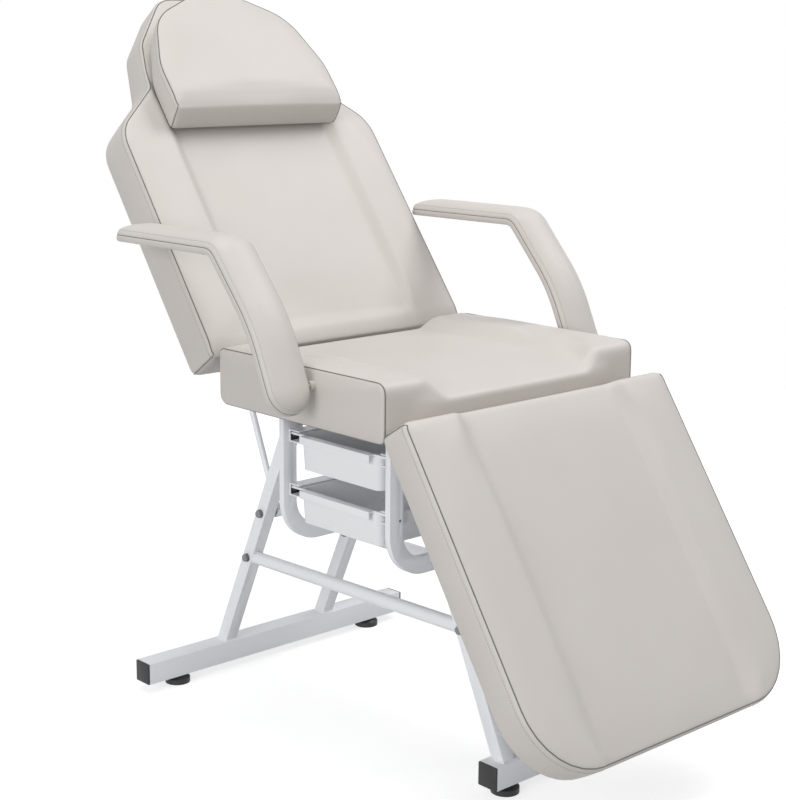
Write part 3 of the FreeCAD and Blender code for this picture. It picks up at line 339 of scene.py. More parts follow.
def corner_arcs(corners, inset):
    """Each rounded corner as a run of points."""
    moved = drawn_in(corners, inset)
    count = len(moved)
    arcs = []
    for index, (x, s, radius) in enumerate(moved):
        corner = np.array((x, s))
        before = np.array(moved[index - 1][:2]) - corner
        after = np.array(moved[(index + 1) % count][:2]) - corner
        before /= np.linalg.norm(before)
        after /= np.linalg.norm(after)
        half = math.acos(max(-1, min(1, float(before @ after)))) / 2
        reach = radius / math.tan(half)
        way = (before + after) / np.linalg.norm(before + after)
        centre = corner + way * radius / math.sin(half)
        start = corner + before * reach - centre
        end = corner + after * reach - centre
        turn = math.atan2(start[0] * end[1] - start[1] * end[0], float(start @ end))
        points = []
        for step in range(ARC_STEPS + 1):
            angle = turn * step / ARC_STEPS
            cos, sin = math.cos(angle), math.sin(angle)
            points.append(centre + np.array((start[0] * cos - start[1] * sin,
                                             start[0] * sin + start[1] * cos)))
        arcs.append(points)
    return arcs


def run_from(arcs, index):
    """The points from the middle of one corner to the middle of the next."""
    middle = ARC_STEPS // 2
    return np.array(arcs[index][middle:] + arcs[(index + 1) % len(arcs)][:middle + 1])


def ring(corners, inset, counts):
    """Points round an outline: counts[i] steps from the middle of corner i to the next."""
    arcs = corner_arcs(corners, inset)
    found = []
    for index, steps in enumerate(counts):
        run = run_from(arcs, index)
        lengths = np.concatenate(([0], np.cumsum(np.linalg.norm(np.diff(run, axis=0), axis=1))))
        at = np.linspace(0, lengths[-1], steps, endpoint=False)
        found.append(np.stack([np.interp(at, lengths, run[:, axis]) for axis in (0, 1)], 1))
    return np.concatenate(found)


def mirrored(half):
    """A whole outline from the half on the sitter's left."""
    return half + [(-x, s, radius) for x, s, radius in reversed(half)]


def smooth(low, high, value):
    """0 below the low value and 1 above the high one, with a soft step between."""
    share = np.clip((value - low) / (high - low), 0, 1)
    return share * share * (3 - 2 * share)


def linked(name, data):
    """A new object of the scene."""
    made = bpy.data.objects.new(name, data)
    bpy.context.scene.collection.objects.link(made)
    return made


def drawn(name, work):
    """A mesh from a finished bmesh."""
    mesh = bpy.data.meshes.new(name)
    work.to_mesh(mesh)
    work.free()
    return mesh


def add_box(work, low, high):
    size = Matrix.Diagonal((high - low).to_4d())
    bmesh.ops.create_cube(work, size=1, matrix=Matrix.Translation((low + high) / 2) @ size)


class Pad:
    """A closed upholstered form: rings drawn through its thickness and a gridded cap at
    each end of them. Everything is flat, in millimetres, until it is placed."""

    def __init__(self, name, corners, counts, turns, layers, lift):
        self.name = name
        self.count = sum(counts)
        starts = [sum(counts[:turn]) for turn in turns]
        self.steps_a = starts[1] - starts[0]
        self.steps_b = starts[2] - starts[1]
        self.rings = []
        points = []
        for inset, level in layers:
            flat = ring(corners, inset, counts)
            points.append(np.column_stack((flat, np.full(len(flat), float(level)))))
        roll = [(starts[0] + step) % self.count for step in range(self.count)]
        vertices = np.concatenate(points)
        for index in range(len(layers)):
            self.rings.append([index * self.count + step for step in roll])
        faces = []
        for low, high in zip(self.rings, self.rings[1:]):
            for step in range(self.count):
                after = (step + 1) % self.count
                faces.append((low[step], low[after], high[after], high[step]))
        self.caps = []
        for place in (0, len(layers) - 1):
            vertices, cap = self.capped(vertices, self.rings[place], faces, place == 0)
            self.caps.append(cap)
        self.vertices = lift(vertices[:, 0], vertices[:, 1], vertices[:, 2])
        self.faces = faces

    def capped(self, vertices, edge, faces, low):
        """Fills a ring with a grid of quads that runs between its four sides."""
        a, b, count = self.steps_a, self.steps_b, self.count
        grid = [[None] * (b + 1) for _ in range(a + 1)]
        for i in range(a + 1):
            grid[i][0] = edge[i]
            grid[i][b] = edge[2 * a + b - i]
        for j in range(b + 1):
            grid[a][j] = edge[a + j]
            grid[0][j] = edge[(2 * a + 2 * b - j) % count]
        corner = [vertices[grid[i][j]] for i, j in ((0, 0), (a, 0), (a, b), (0, b))]
        inner = []
        for i in range(1, a):
            u = i / a
            for j in range(1, b):
                v = j / b
                point = ((1 - v) * vertices[grid[i][0]] + v * vertices[grid[i][b]]
                         + (1 - u) * vertices[grid[0][j]] + u * vertices[grid[a][j]]
                         - (1 - u) * (1 - v) * corner[0] - u * (1 - v) * corner[1]
                         - u * v * corner[2] - (1 - u) * v * corner[3])
                grid[i][j] = len(vertices) + len(inner)
                inner.append(point)
        if inner:
            vertices = np.concatenate((vertices, np.array(inner)))
        for i in range(a):
            for j in range(b):
                quad = (grid[i][j], grid[i + 1][j], grid[i + 1][j + 1], grid[i][j + 1])
                faces.append(quad[::-1] if low else quad)
        return vertices, [index for row in grid for index in row]

    def build(self):
        mesh = bpy.data.meshes.new(self.name)
        mesh.from_pydata([tuple(point * MM) for point in self.vertices], [], self.faces)
        work = bmesh.new()
        work.from_mesh(mesh)
        bmesh.ops.recalc_face_normals(work, faces=work.faces)
        work.to_mesh(mesh)
        work.free()
        self.piece = linked(self.name, mesh)


def coordinates(mesh):
    flat = np.zeros(len(mesh.vertices) * 3)
    mesh.vertices.foreach_get("co", flat)
    return flat.reshape(-1, 3)


def set_coordinates(mesh, points):
    mesh.vertices.foreach_set("co", np.asarray(points, float).ravel())
    mesh.update()


def evaluated_points(piece):
    evaluated = piece.evaluated_get(bpy.context.evaluated_depsgraph_get())
    mesh = evaluated.to_mesh()
    points = coordinates(mesh)
    evaluated.to_mesh_clear()
    return points


def puff(pads):
    """Cloth under light air pressure, held on its seams, with each point's travel capped."""
    for pad in pads:
        group = pad.piece.vertex_groups.new(name="held")
        group.add(sorted(pad.held), 1.0, "REPLACE")
        cloth = pad.piece.modifiers.new("Cloth", "CLOTH")
        cloth.settings.quality = 5
        cloth.settings.mass = 0.4
        cloth.settings.tension_stiffness = 20
        cloth.settings.compression_stiffness = 20
        cloth.settings.bending_stiffness = 4
        cloth.settings.use_pressure = True
        cloth.settings.uniform_pressure_force = PUFF_PRESSURE
        cloth.settings.vertex_group_mass = "held"
        cloth.settings.effector_weights.gravity = 0
        cloth.point_cache.frame_start = 1
        cloth.point_cache.frame_end = PUFF_FRAMES
    for step in range(1, PUFF_FRAMES + 1):
        bpy.context.scene.frame_set(step)
    for pad in pads:
        rest = coordinates(pad.piece.data)
        travel = evaluated_points(pad.piece) - rest
        pad.piece.modifiers.remove(pad.piece.modifiers["Cloth"])
        length = np.linalg.norm(travel, axis=1, keepdims=True)
        cap = np.asarray(pad.cap)[:, None] * MM
        share = cap * np.tanh(length / cap) / np.maximum(length, TRAVEL_LEAST)
        set_coordinates(pad.piece.data, rest + travel * share)
    bpy.context.scene.frame_set(1)


def finished_mesh(piece):
    """Turns a piece's live modifiers into plain mesh."""
    bpy.context.view_layer.update()
    evaluated = piece.evaluated_get(bpy.context.evaluated_depsgraph_get())
    mesh = bpy.data.meshes.new_from_object(evaluated)
    piece.modifiers.clear()
    piece.data = mesh
    return piece


def subdivide(piece):
    modifier = piece.modifiers.new("Rounding", "SUBSURF")
    modifier.levels = 1
    modifier.render_levels = 1
    return finished_mesh(piece)


def cut_away(piece, boxes):
    """Cuts flat boxes, in millimetres, out of a pad."""
    work = bmesh.new()
    for x0, x1, y0, y1, z0, z1 in boxes:
        add_box(work, Vector((x0, y0, z0)) * MM, Vector((x1, y1, z1)) * MM)
    cutter = linked("cutter", drawn("cutter", work))
    modifier = piece.modifiers.new("Cut", "BOOLEAN")
    modifier.operation = "DIFFERENCE"
    modifier.solver = "MANIFOLD"
    modifier.object = cutter
    finished_mesh(piece)
    bpy.data.objects.remove(cutter)


def shaded(mesh, material):
    """One finish over the whole mesh, smooth but for its sharp edges."""
    mesh.materials.clear()
    mesh.materials.append(material)
    mesh.polygons.foreach_set("use_smooth", [True] * len(mesh.polygons))
    mesh.polygons.foreach_set("material_index", [0] * len(mesh.polygons))
    mesh.set_sharp_from_angle(angle=SHARP_ANGLE)
    mesh.update()


def tilt(pivot, angle):
    """A turn about the sideways line through a pivot."""
    return (Matrix.Translation(pivot) @ Matrix.Rotation(angle, 4, "X")
            @ Matrix.Translation(-pivot))


# Places of the sections: flat millimetres to metres in the chair's frame

BACK_PLACE = tilt(BACK_PIVOT, BACK_TILT) @ Matrix.Translation(BACK_START)
LEG_PLACE = (tilt(LEG_PIVOT, LEG_TILT) @ Matrix.Translation(LEG_START)
             @ Matrix.Diagonal((-1, -1, 1, 1)))
PILLOW_PLACE = tilt(BACK_PIVOT, BACK_TILT) @ Matrix.Translation(PILLOW_START)
SEAT_PLACE = Matrix.Translation((0, SEAT_REAR, 0))


# Geometry-node trees for the dark seam cords of painted shade, stitches, staples and welds

def new_tree(name, sizes):
    tree = bpy.data.node_groups.new(name, "GeometryNodeTree")
    tree.interface.new_socket("Geometry", in_out="OUTPUT", socket_type="NodeSocketGeometry")
    tree.interface.new_socket("Geometry", in_out="INPUT", socket_type="NodeSocketGeometry")
    for size in sizes:
        tree.interface.new_socket(size, in_out="INPUT", socket_type="NodeSocketFloat")
    tree.interface.new_socket("Finish", in_out="INPUT", socket_type="NodeSocketMaterial")
    return tree


def add(tree, kind, settings=(), sockets=()):
    made = tree.nodes.new(kind)
    for key, value in dict(settings).items():
        setattr(made, key, value)
    for key, value in dict(sockets).items():
        if isinstance(value, bpy.types.NodeSocket):
            tree.links.new(value, made.inputs[key])
        else:
            made.inputs[key].default_value = value
    return made


def closed_tree(tree, given, shape):
    """Ends a tree: its shape as real mesh, in the finish it is given."""
    real = add(tree, "GeometryNodeRealizeInstances", {}, {"Geometry": shape})
    dressed = add(tree, "GeometryNodeSetMaterial", {},
                  {"Geometry": real.outputs["Geometry"], "Material": given.outputs["Finish"]})
    add(tree, "NodeGroupOutput", {}, {"Geometry": dressed.outputs["Geometry"]})
    return tree


def seam_tree():
    """A round cord along a path."""
    tree = new_tree("seam_fold_painted_shade", ["Radius", "Step"])
    given = tree.nodes.new("NodeGroupInput")
    line = add(tree, "GeometryNodeMeshToCurve", {}, {"Mesh": given.outputs["Geometry"]})
    even = add(tree, "GeometryNodeResampleCurve", {"mode": "LENGTH"},
               {"Curve": line.outputs["Curve"], "Length": given.outputs["Step"]})
    section = add(tree, "GeometryNodeCurvePrimitiveCircle", {},
                  {"Resolution": 6, "Radius": given.outputs["Radius"]})
    tube = add(tree, "GeometryNodeCurveToMesh", {},
               {"Curve": even.outputs["Curve"], "Profile Curve": section.outputs["Curve"],
                "Fill Caps": True})
    return closed_tree(tree, given, tube.outputs["Mesh"])


def row_tree(name, rounded):
    """A row of small pieces along a path: grains of stitching or weld, or bars of staple."""
    tree = new_tree(name, ["Pitch", "Length", "Width"])
    given = tree.nodes.new("NodeGroupInput")
    line = add(tree, "GeometryNodeMeshToCurve", {}, {"Mesh": given.outputs["Geometry"]})
    spots = add(tree, "GeometryNodeCurveToPoints", {"mode": "LENGTH"},
                {"Curve": line.outputs["Curve"], "Length": given.outputs["Pitch"]})
    facing = add(tree, "FunctionNodeAlignRotationToVector", {"axis": "Z"},
                 {"Vector": spots.outputs["Tangent"]})
    if rounded:
        grain = add(tree, "GeometryNodeMeshUVSphere", {},
                    {"Segments": 6, "Rings": 5, "Radius": 0.5})
    else:
        grain = add(tree, "GeometryNodeMeshCylinder", {},
                    {"Vertices": 6, "Radius": 0.5, "Depth": 1.0})
    size = add(tree, "ShaderNodeCombineXYZ", {},
               {"X": given.outputs["Width"], "Y": given.outputs["Width"],
                "Z": given.outputs["Length"]})
    placed = add(tree, "GeometryNodeInstanceOnPoints", {},
                 {"Points": spots.outputs["Points"], "Instance": grain.outputs["Mesh"],
                  "Rotation": facing.outputs["Rotation"], "Scale": size.outputs["Vector"]})
    return closed_tree(tree, given, placed.outputs["Instances"])


SEAM_TREE = seam_tree()
GRAIN_TREE = row_tree("grain_row", True)
STAPLE_TREE = row_tree("staple_row", False)


def along(name, paths, tree, body, slot, values, finish):
    """Runs a geometry-node tree along paths of points in metres, as one plain mesh."""
    mesh = bpy.data.meshes.new(name)
    vertices = []
    edges = []
    for points, closed in paths:
        start = len(vertices)
        vertices += [tuple(point) for point in points]
        edges += [(start + step, start + step + 1) for step in range(len(points) - 1)]
        if closed:
            edges.append((len(vertices) - 1, start))
    mesh.from_pydata(vertices, edges, [])
    piece = linked(name, mesh)
    modifier = piece.modifiers.new("Row", "NODES")
    modifier.node_group = tree
    for socket in tree.interface.items_tree:
        if socket.in_out == "INPUT" and socket.name in values:
            modifier[socket.identifier] = values[socket.name]
        if socket.in_out == "INPUT" and socket.name == "Finish":
            modifier[socket.identifier] = finish
    finished_mesh(piece)
    piece.data.polygons.foreach_set("use_smooth", [True] * len(piece.data.polygons))
    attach(piece, body)


# A seam's dark cord, sunk in its groove, is painted shade in the fold.
def seam(name, paths, body, radius=SEAM_RADIUS):
    along(name, paths, SEAM_TREE, body, "upholstery",
          {"Radius": radius * MM, "Step": SEAM_STEP * MM}, SEAM_SHADE)


def stitching(name, paths, body):
    along(name, paths, GRAIN_TREE, body, "upholstery",
          {"Pitch": 0.0046, "Length": 0.0036, "Width": 0.0009}, THREAD)


def staples(name, paths, body):
    along(name, paths, STAPLE_TREE, body, "bolt_steel",
          {"Pitch": 0.038, "Length": 0.0105, "Width": 0.0013}, STAPLE)


def weld(name, paths, body):
    along(name, paths, GRAIN_TREE, body, "white_steel",
          {"Pitch": 0.0021, "Length": 0.0034, "Width": 0.0042}, COAT)


# Upholstery

def dish(x, flat, edge, deep):
    """How far the middle panel is sunk between the side bolsters."""
    return deep * (1 - smooth(flat, edge, np.abs(x)))


def ring_line(pad, index):
    return [pad.where[vertex] for vertex in pad.rings[index]]


def open_line(pad, index):
    """The part of a ring round the sides and top, without the edge by the seat."""
    return ring_line(pad, index)[:pad.count - pad.steps_b + 1]


def corner_lines(pad, first, last):
    """The seams up the two square corners of a pad."""
    return [[pad.where[pad.rings[index][step]] for index in range(first, last + 1)]
            for step in (0, pad.count - pad.steps_b)]


def groove(pad, indexes, deep=SEAM_SUNK):
    """Pulls seam rings into the padding."""
    mesh = pad.piece.data
    points = coordinates(mesh)
    normals = np.zeros(len(mesh.vertices) * 3)
    mesh.vertices.foreach_get("normal", normals)
    normals = normals.reshape(-1, 3)
    for index in indexes:
        chosen = pad.rings[index]
        points[chosen] -= normals[chosen] * deep * MM
    set_coordinates(mesh, points)
    pad.where = points


def place_pad(pad, matrix, body, replaced, cuts=()):
    subdivide(pad.piece)
    if cuts:
        cut_away(pad.piece, cuts)
    pad.piece.data.transform(matrix)
    if matrix.determinant() < 0:
        pad.piece.data.flip_normals()
    shaded(pad.piece.data, LEATHER)
    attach(pad.piece, body)
    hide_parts(replaced)


def carried(points, matrix):
    return [matrix @ Vector(point) for point in points]


def side_counts(corners, spacing, ties=()):
    """Steps from corner to corner, near the spacing, made equal where tied."""
    arcs = corner_arcs(corners, 0)
    counts = []
    for index in range(len(arcs)):
        length = np.linalg.norm(np.diff(run_from(arcs, index), axis=0), axis=1).sum()
        counts.append(max(2, round(length / spacing)))
    for taken, given in ties:
        counts[taken] = counts[given]
    return counts


def panel_layers(thick, board):
    """Rings of a slab pad, from round its board, up its side band and over its seam."""
    side = [share * (thick - 17) + 5 for share in (0, 0.2, 0.4, 0.6, 0.8, 1)]
    return ([(9.2, board), (9.2, 0.6), (6.0, 0.0), (1.6, 2.2)]
            + [(0.2 if level > 12 else 0.8, level) for level in side]
            + [(0.9, thick - 8.8), (1.7, thick - 6.8), (2.6, thick - 5.2),
               (4.2, thick - 3.6), (8.5, thick - 2.2), (16, thick - 1.2), (25, thick - 1)])


# Outlines on the sitter's left: across, along and corner radius
BACK_HALF = [(305, 0, 13), (303, 470, 78), (197, 562, 42), (168, 668, 62), (80, 775, 62)]
LEG_HALF = [(311, 0, 14), (311, 580, 122)]
PILLOW_HALF = [(202, 0, 10), (202, 95, 125), (161, 209, 105), (56, 260, 62)]

# Sunk middle panels: half width of the flat, its outer edge and the depth
BACK_DISH = (178, 201, 13)
LEG_DISH = (176, 199, 12)
SEAT_DISH = (164, 212, 18)

# Thicknesses, the boards' upper faces, and the numbers of the slabs' rings
BACK_THICK = 83
LEG_THICK = 64
BOARD_TOP = 12.4
SLAB_FREE = 3
SLAB_LIP = 2
SLAB_STITCH = 9
SLAB_SEAM = 13


def hold(pad, rings):
    """The points that stay put: the under cap and the named rings."""
    held = set(pad.caps[0])
    for index in rings:
        held |= set(pad.rings[index])
    return held


def travel_caps(pad, side, top, ends=(1,)):
    """How far each point may move, in millimetres: on the rings, and on the caps at the
    given ends of them, with the half-way value between the two."""
    cap = np.full(len(pad.vertices), side)
    for end in ends:
        cap[list(set(pad.caps[end]))] = top
        near = pad.rings[-3:] if end else pad.rings[:3]
        for chosen in near:
            cap[chosen] = (side + top) / 2
    return cap


def back_pad():
    corners = mirrored(BACK_HALF)
    counts = side_counts(corners, 8, [(4, 9)])

    def lift(x, s, level):
        upper = smooth(42, 80, level)
        sunk = dish(x, *BACK_DISH) * smooth(12, 52, s) * upper
        roll = 6 * (1 - smooth(0, 34, s)) * smooth(60, 83, level)
        return np.stack((x, s, level - sunk - roll), 1)

    layers = panel_layers(BACK_THICK, BOARD_TOP)
    pad = Pad("back_upholstery", corners, counts, [0, 4, 5, 9], layers, lift)
    pad.build()
    pad.held = hold(pad, [0, 1, 2, 3, SLAB_SEAM])
    pad.cap = travel_caps(pad, 3.0, 4.5)
    return pad


def leg_pad():
    corners = mirrored(LEG_HALF)
    counts = side_counts(corners, 8, [(1, 3)])

    def lift(x, s, level):
        upper = smooth(24, 62, level)
        sunk = dish(x, *LEG_DISH) * upper
        return np.stack((x, s, level - sunk), 1)

    layers = panel_layers(LEG_THICK, BOARD_TOP)
    pad = Pad("leg_rest_upholstery", corners, counts, [0, 1, 2, 3], layers, lift)
    pad.build()
    pad.held = hold(pad, [0, 1, 2, 3, SLAB_SEAM])
    pad.cap = travel_caps(pad, 3.0, 4.5)
    return pad


# Headrest pillow: its rings as inset and share of its thickness, those that are sewn, and how
# its upper face is shifted up the back, crowned and leant
PILLOW_LAYERS = [(9, 0.0), (3.5, 0.05), (1.0, 0.16), (0, 0.3), (0, 0.45), (0.3, 0.6),
                 (0.9, 0.74), (1.4, 0.80), (2.2, 0.84), (3.6, 0.88), (8, 0.93), (15, 0.97),
                 (25, 1.0)]
PILLOW_FREE = 1
PILLOW_STITCH = 6
PILLOW_SEAM = 9
PILLOW_THICK = 58
PILLOW_SHIFT = 25
PILLOW_CROWN = 3
PILLOW_LEAN = math.atan(11 / 261)


def pillow_pad():
    corners = mirrored(PILLOW_HALF)
    counts = side_counts(corners, 7, [(3, 7)])

    def lift(x, s, share):
        lean = PILLOW_LEAN * share
        roll = 5 * (1 - smooth(0, 34, s)) * smooth(0.7, 1.0, share)
        crown = PILLOW_CROWN * share * (1 - (x / PILLOW_HALF[0][0]) ** 2)
        along_back = s * np.cos(lean) + PILLOW_SHIFT * share
        high = PILLOW_THICK * share - s * np.sin(lean) - roll + crown
        return np.stack((x, along_back, high), 1)

    pad = Pad("headrest_upholstery", corners, counts, [0, 3, 4, 7], PILLOW_LAYERS, lift)
    pad.build()
    pad.held = hold(pad, [0, PILLOW_SEAM])
    pad.cap = travel_caps(pad, 2.0, 3.5)
    return pad


# Seat: its section from the side (along, up and corner radius), the rings that its seams
# follow, counted from either side, and how far its front face swells over the hinges
SEAT_SECTION = [(-421, 587, 9), (0, 587, 18), (0, 686, 9), (-421, 686, 17)]
SEAT_SEAMS = (4, -5)
SEAT_SWELL = 9.5


def seat_pad():
    corners = SEAT_SECTION
    counts = side_counts(corners, 8, [(2, 0), (3, 1)])
    outer = [(15, 299.2), (7, 298.8), (3.4, 298.2), (2.0, 296.8), (1.0, 294.8), (0.4, 290),
             (0, 284)]
    across = [276 - 8 * step for step in range(70)]
    layers = ([(inset, -x) for inset, x in outer] + [(0, -x) for x in across]
              + [(inset, x) for inset, x in reversed(outer)])

    def lift(y, z, x):
        upper = smooth(600, 680, z)
        front = smooth(-300, -421, y)
        sunk = dish(x, *SEAT_DISH) * (1 + 0.5 * front)
        level = z - sunk * upper
        full = (1 - smooth(180, 262, np.abs(x))) * smooth(-412, -420, y)
        swell = SEAT_SWELL * full * smooth(601, 618, level) * (1 - smooth(640, 672, level))
        return np.stack((x, y - swell, level), 1)

    pad = Pad("seat_upholstery", corners, counts, [0, 1, 2, 3], layers, lift)
    pad.build()
    points = pad.vertices
    under = set(np.nonzero(points[:, 2] < 592)[0].tolist())
    swell = set(np.nonzero((points[:, 1] < -422) & (points[:, 2] < 660))[0].tolist())
    pad.held = (under | swell).union(*(pad.rings[index] for index in SEAT_SEAMS))
    pad.cap = travel_caps(pad, 4.0, 2.5, (0, 1))
    return pad


# Armrest: its line from the side (along and up) with the radii of its two bends, its outline
# lying flat, its rings as inset and level, and those that are sewn
ARM_MIDDLE = 354.0
ARM_PATH = [(-272.4, 619.7), (-212, 756), (-110, 874), (165, 874)]
ARM_BENDS = (300, 32)
ARM_LENGTH = 575.0
ARM_HALF = [(43, 0, 42.8), (43, ARM_LENGTH, 9)]
ARM_LAYERS = [(8, -12), (3.2, -11.7), (1.0, -10.4), (0.1, -8), (0, -5), (0.2, -2.4), (0.7, -1),
              (1.2, 0), (1.3, 1.1), (1.2, 2.6), (1.9, 4.4), (3.2, 6.6), (5.4, 9), (8.2, 11.3),
              (11.6, 13.4), (15.8, 15.3), (21, 17), (27, 18.4), (33, 19.2)]
ARM_SEAM = 7
ARM_STITCH = 12


def bent(path, rounds):
    """A path with rounded bends: length so far, place and heading at close steps."""
    path = [np.array(point, float) for point in path]
    places = [path[0]]
    first = path[1] - path[0]
    headings = [math.atan2(first[1], first[0])]
    for before, corner, after, radius in zip(path, path[1:], path[2:], rounds):
        start = math.atan2(corner[1] - before[1], corner[0] - before[0])
        turn = math.atan2(after[1] - corner[1], after[0] - corner[0]) - start
        reach = radius * math.tan(abs(turn) / 2)
        side = radius * math.copysign(1, turn)
        begin = corner - reach * np.array((math.cos(start), math.sin(start)))
        centre = begin + side * np.array((-math.sin(start), math.cos(start)))
        for step in range(BEND_STEPS + 1):
            way = start + turn * step / BEND_STEPS
            places.append(centre + side * np.array((math.sin(way), -math.cos(way))))
            headings.append(way)
    places.append(path[-1])
    headings.append(headings[-1])
    steps = np.linalg.norm(np.diff(places, axis=0), axis=1)
    return np.concatenate(([0], np.cumsum(steps))), np.array(places), np.array(headings)


def arm_pad(name, side):
    corners = mirrored(ARM_HALF)
    counts = side_counts(corners, 5, [(1, 3)])
    lengths, places, headings = bent(ARM_PATH, ARM_BENDS)
    stretch = lengths[-1] / ARM_LENGTH

    def lift(x, s, level):
        y, z, heading = (np.interp(s * stretch, lengths, values)
                         for values in (places[:, 0], places[:, 1], headings))
        return np.stack((side * ARM_MIDDLE - x, y - np.sin(heading) * level,
                         z + np.cos(heading) * level), 1)

    pad = Pad("armrest_upholstery_" + name, corners, counts, [0, 1, 2, 3], ARM_LAYERS, lift)
    pad.build()
    pad.held = hold(pad, [0, 1, ARM_SEAM])
    pad.cap = travel_caps(pad, 1.2, 2.0)
    return pad


back = back_pad()
leg_rest = leg_pad()
pillow = pillow_pad()
seat = seat_pad()
arms = {name: arm_pad(name, side) for name, side in (("left", 1), ("right", -1))}
puff([back, leg_rest, pillow, seat, arms["left"], arms["right"]])

groove(back, [SLAB_SEAM])
groove(leg_rest, [SLAB_SEAM])
groove(pillow, [PILLOW_SEAM])
groove(seat, SEAT_SEAMS)
for arm in arms.values():
    groove(arm, [ARM_SEAM], ARM_SEAM_SUNK)


def paths(lines, place, closed=False):
    return [(carried(line, place), closed) for line in lines]


def sewn(pad, place, body, free, stitch, fold, stitch_round):
    """Seam and corner seams, as dark cords of painted shade, and stitching of a slab or the
    pillow, from its ring numbers.
    """
    seam(body + "_seam", paths([open_line(pad, fold)], place), body)
    seam(body + "_corner_seams", paths(corner_lines(pad, free, fold), place), body,
         CORNER_SEAM_RADIUS)
    line = ring_line(pad, stitch) if stitch_round else open_line(pad, stitch)
    stitching(body + "_stitching", paths([line], place, stitch_round), body)


for pad, place, body in ((back, BACK_PLACE, "backrest"), (leg_rest, LEG_PLACE, "leg_rest")):
    sewn(pad, place, body, SLAB_FREE, SLAB_STITCH, SLAB_SEAM, True)
    staples(body + "_staples", paths([open_line(pad, SLAB_LIP)], place), body)
sewn(pillow, PILLOW_PLACE, "headrest", PILLOW_FREE, PILLOW_STITCH, PILLOW_SEAM, False)
# The seat's and the armrests' seams are dark cords of painted shade as well.
seam("seat_seam", paths([ring_line(seat, index) for index in SEAT_SEAMS], SEAT_PLACE, True),
     "trestle")
for name, arm in arms.items():
    seam("armrest_seam_" + name, paths([ring_line(arm, ARM_SEAM)], SEAT_PLACE, True),
         "armrest_" + name, ARM_SEAM_RADIUS)
    stitching("armrest_stitching_" + name,
              paths([ring_line(arm, ARM_STITCH)], SEAT_PLACE, True), "armrest_" + name)

# Cuts in the padding: across, along and up. Ears of the hinges, and the hinge brackets
EAR_ACROSS = (130.5, 152.9)
BRACKET_ACROSS = (111.2, 136.8)
BACK_SLOT = (-20, 17, -20, 62)
SEAT_BOARD_CUT = (-285, 285, -395, 40, 560, 624.3)
SEAT_HINGE_CUTS = ((EAR_ACROSS, (-440, -390, 560, 617)), (EAR_ACROSS, (-428, -391, 561, 634)),
                   (BRACKET_ACROSS, (-414, -390, 560, 612.4)))


def side_cut(way, across, rest):
    """A cut on the sitter's left (1) or right (-1)."""
    return (*sorted(way * x for x in across), *rest)


back_slots = [side_cut(way, EAR_ACROSS, BACK_SLOT) for way in (1, -1)]
seat_cuts = [SEAT_BOARD_CUT] + [side_cut(way, across, rest) for way in (1, -1)
                                for across, rest in SEAT_HINGE_CUTS]
place_pad(back, BACK_PLACE, "backrest", "back_cushion", back_slots)
place_pad(leg_rest, LEG_PLACE, "leg_rest", "leg_rest_cushion")
place_pad(pillow, PILLOW_PLACE, "headrest", "headrest_pillow")
place_pad(seat, SEAT_PLACE, "trestle", "seat_cushion", seat_cuts)
for name, arm in arms.items():
    place_pad(arm, SEAT_PLACE, "armrest_" + name, "armrest_pad_" + name)


# Steel frame and mouldings, with softened edges

def softened(node, width, material, angle=35):
    """Stands for a CAD node: its own form, merged and with its edges rounded."""
    source = frame["nodes"][node]
    mesh = source.data.copy()
    work = bmesh.new()
    work.from_mesh(mesh)
    bmesh.ops.remove_doubles(work, verts=work.verts, dist=MERGE_WITHIN)
    bmesh.ops.dissolve_limit(work, angle_limit=math.radians(0.6), verts=work.verts,
                             edges=work.edges)
    work.to_mesh(mesh)
    work.free()
    piece = linked(node + "_dressed", mesh)
    modifier = piece.modifiers.new("Edge", "BEVEL")
    modifier.width = width * MM
    modifier.segments = 2
    modifier.limit_method = "ANGLE"
    modifier.angle_limit = math.radians(angle)
    finished_mesh(piece)
    shaded(piece.data, material)
    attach(piece, source["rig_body"])
    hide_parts(node)


SIDES = ("left", "right")
ENDS = ("rear", "front")
for end in ENDS:
    softened(end + "_floor_bar", 2.4, COAT)
for end in ENDS:
    for side in SIDES:
        softened(f"{end}_leg_{side}", 1.8, COAT)
    softened("tray_bracket_" + end, 1.6, COAT)
softened("tray_upper", 1.0, TRAY, 40)
softened("tray_lower", 1.0, TRAY, 40)
softened("floor_bar_end_caps", 1.2, BLACK)


def rail_shade_sheet(level, end):
    """A black sheet of painted shade against the back wall of a tray rail, standing for the
    shade in its hollow, as a box's corners.
    """
    low, high = (Vector(corner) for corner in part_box(f"tray_rail_{level}_{end}"))
    wall = high.y - SHADE_SHEET_INSET if end == "rear" else low.y + SHADE_SHEET_INSET
    out = wall - SHADE_SHEET_THICK if end == "rear" else wall + SHADE_SHEET_THICK
    return (Vector((low.x + SHADE_SHEET_THICK, min(wall, out), low.z + SHADE_SHEET_INSET)),
            Vector((high.x - SHADE_SHEET_THICK, max(wall, out), high.z - SHADE_SHEET_INSET)))


def rail_shade_sheets():
    work = bmesh.new()
    for level in ("upper", "lower"):
        for end in ENDS:
            add_box(work, *rail_shade_sheet(level, end))
    piece = linked("tray_rail_painted_shade", drawn("tray_rail_painted_shade", work))
    modifier = piece.modifiers.new("Edge", "BEVEL")
    modifier.width = 0.3 * MM
    modifier.segments = 2
    finished_mesh(piece)
    # Black here is painted shade: the sheets stand for the shade inside the hollow rails.
    shaded(piece.data, BLACK)
    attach(piece, "trestle")


rail_shade_sheets()


def leg_weld(node):
    """A bead round the foot of a leg, where it stands on its floor bar."""
    source = frame["nodes"][node]
    points = coordinates(source.data)
    foot = points[points[:, 2] < points[:, 2].min() + FOOT_BAND]
    (x0, y0, z0), (x1, y1, _) = foot.min(axis=0), foot.max(axis=0)
    return [(x0, y0, z0), (x1, y0, z0), (x1, y1, z0), (x0, y1, z0)]


weld("leg_weld_beads", [(leg_weld(f"{end}_leg_{side}"), True) for end in ENDS
                        for side in SIDES], "trestle")

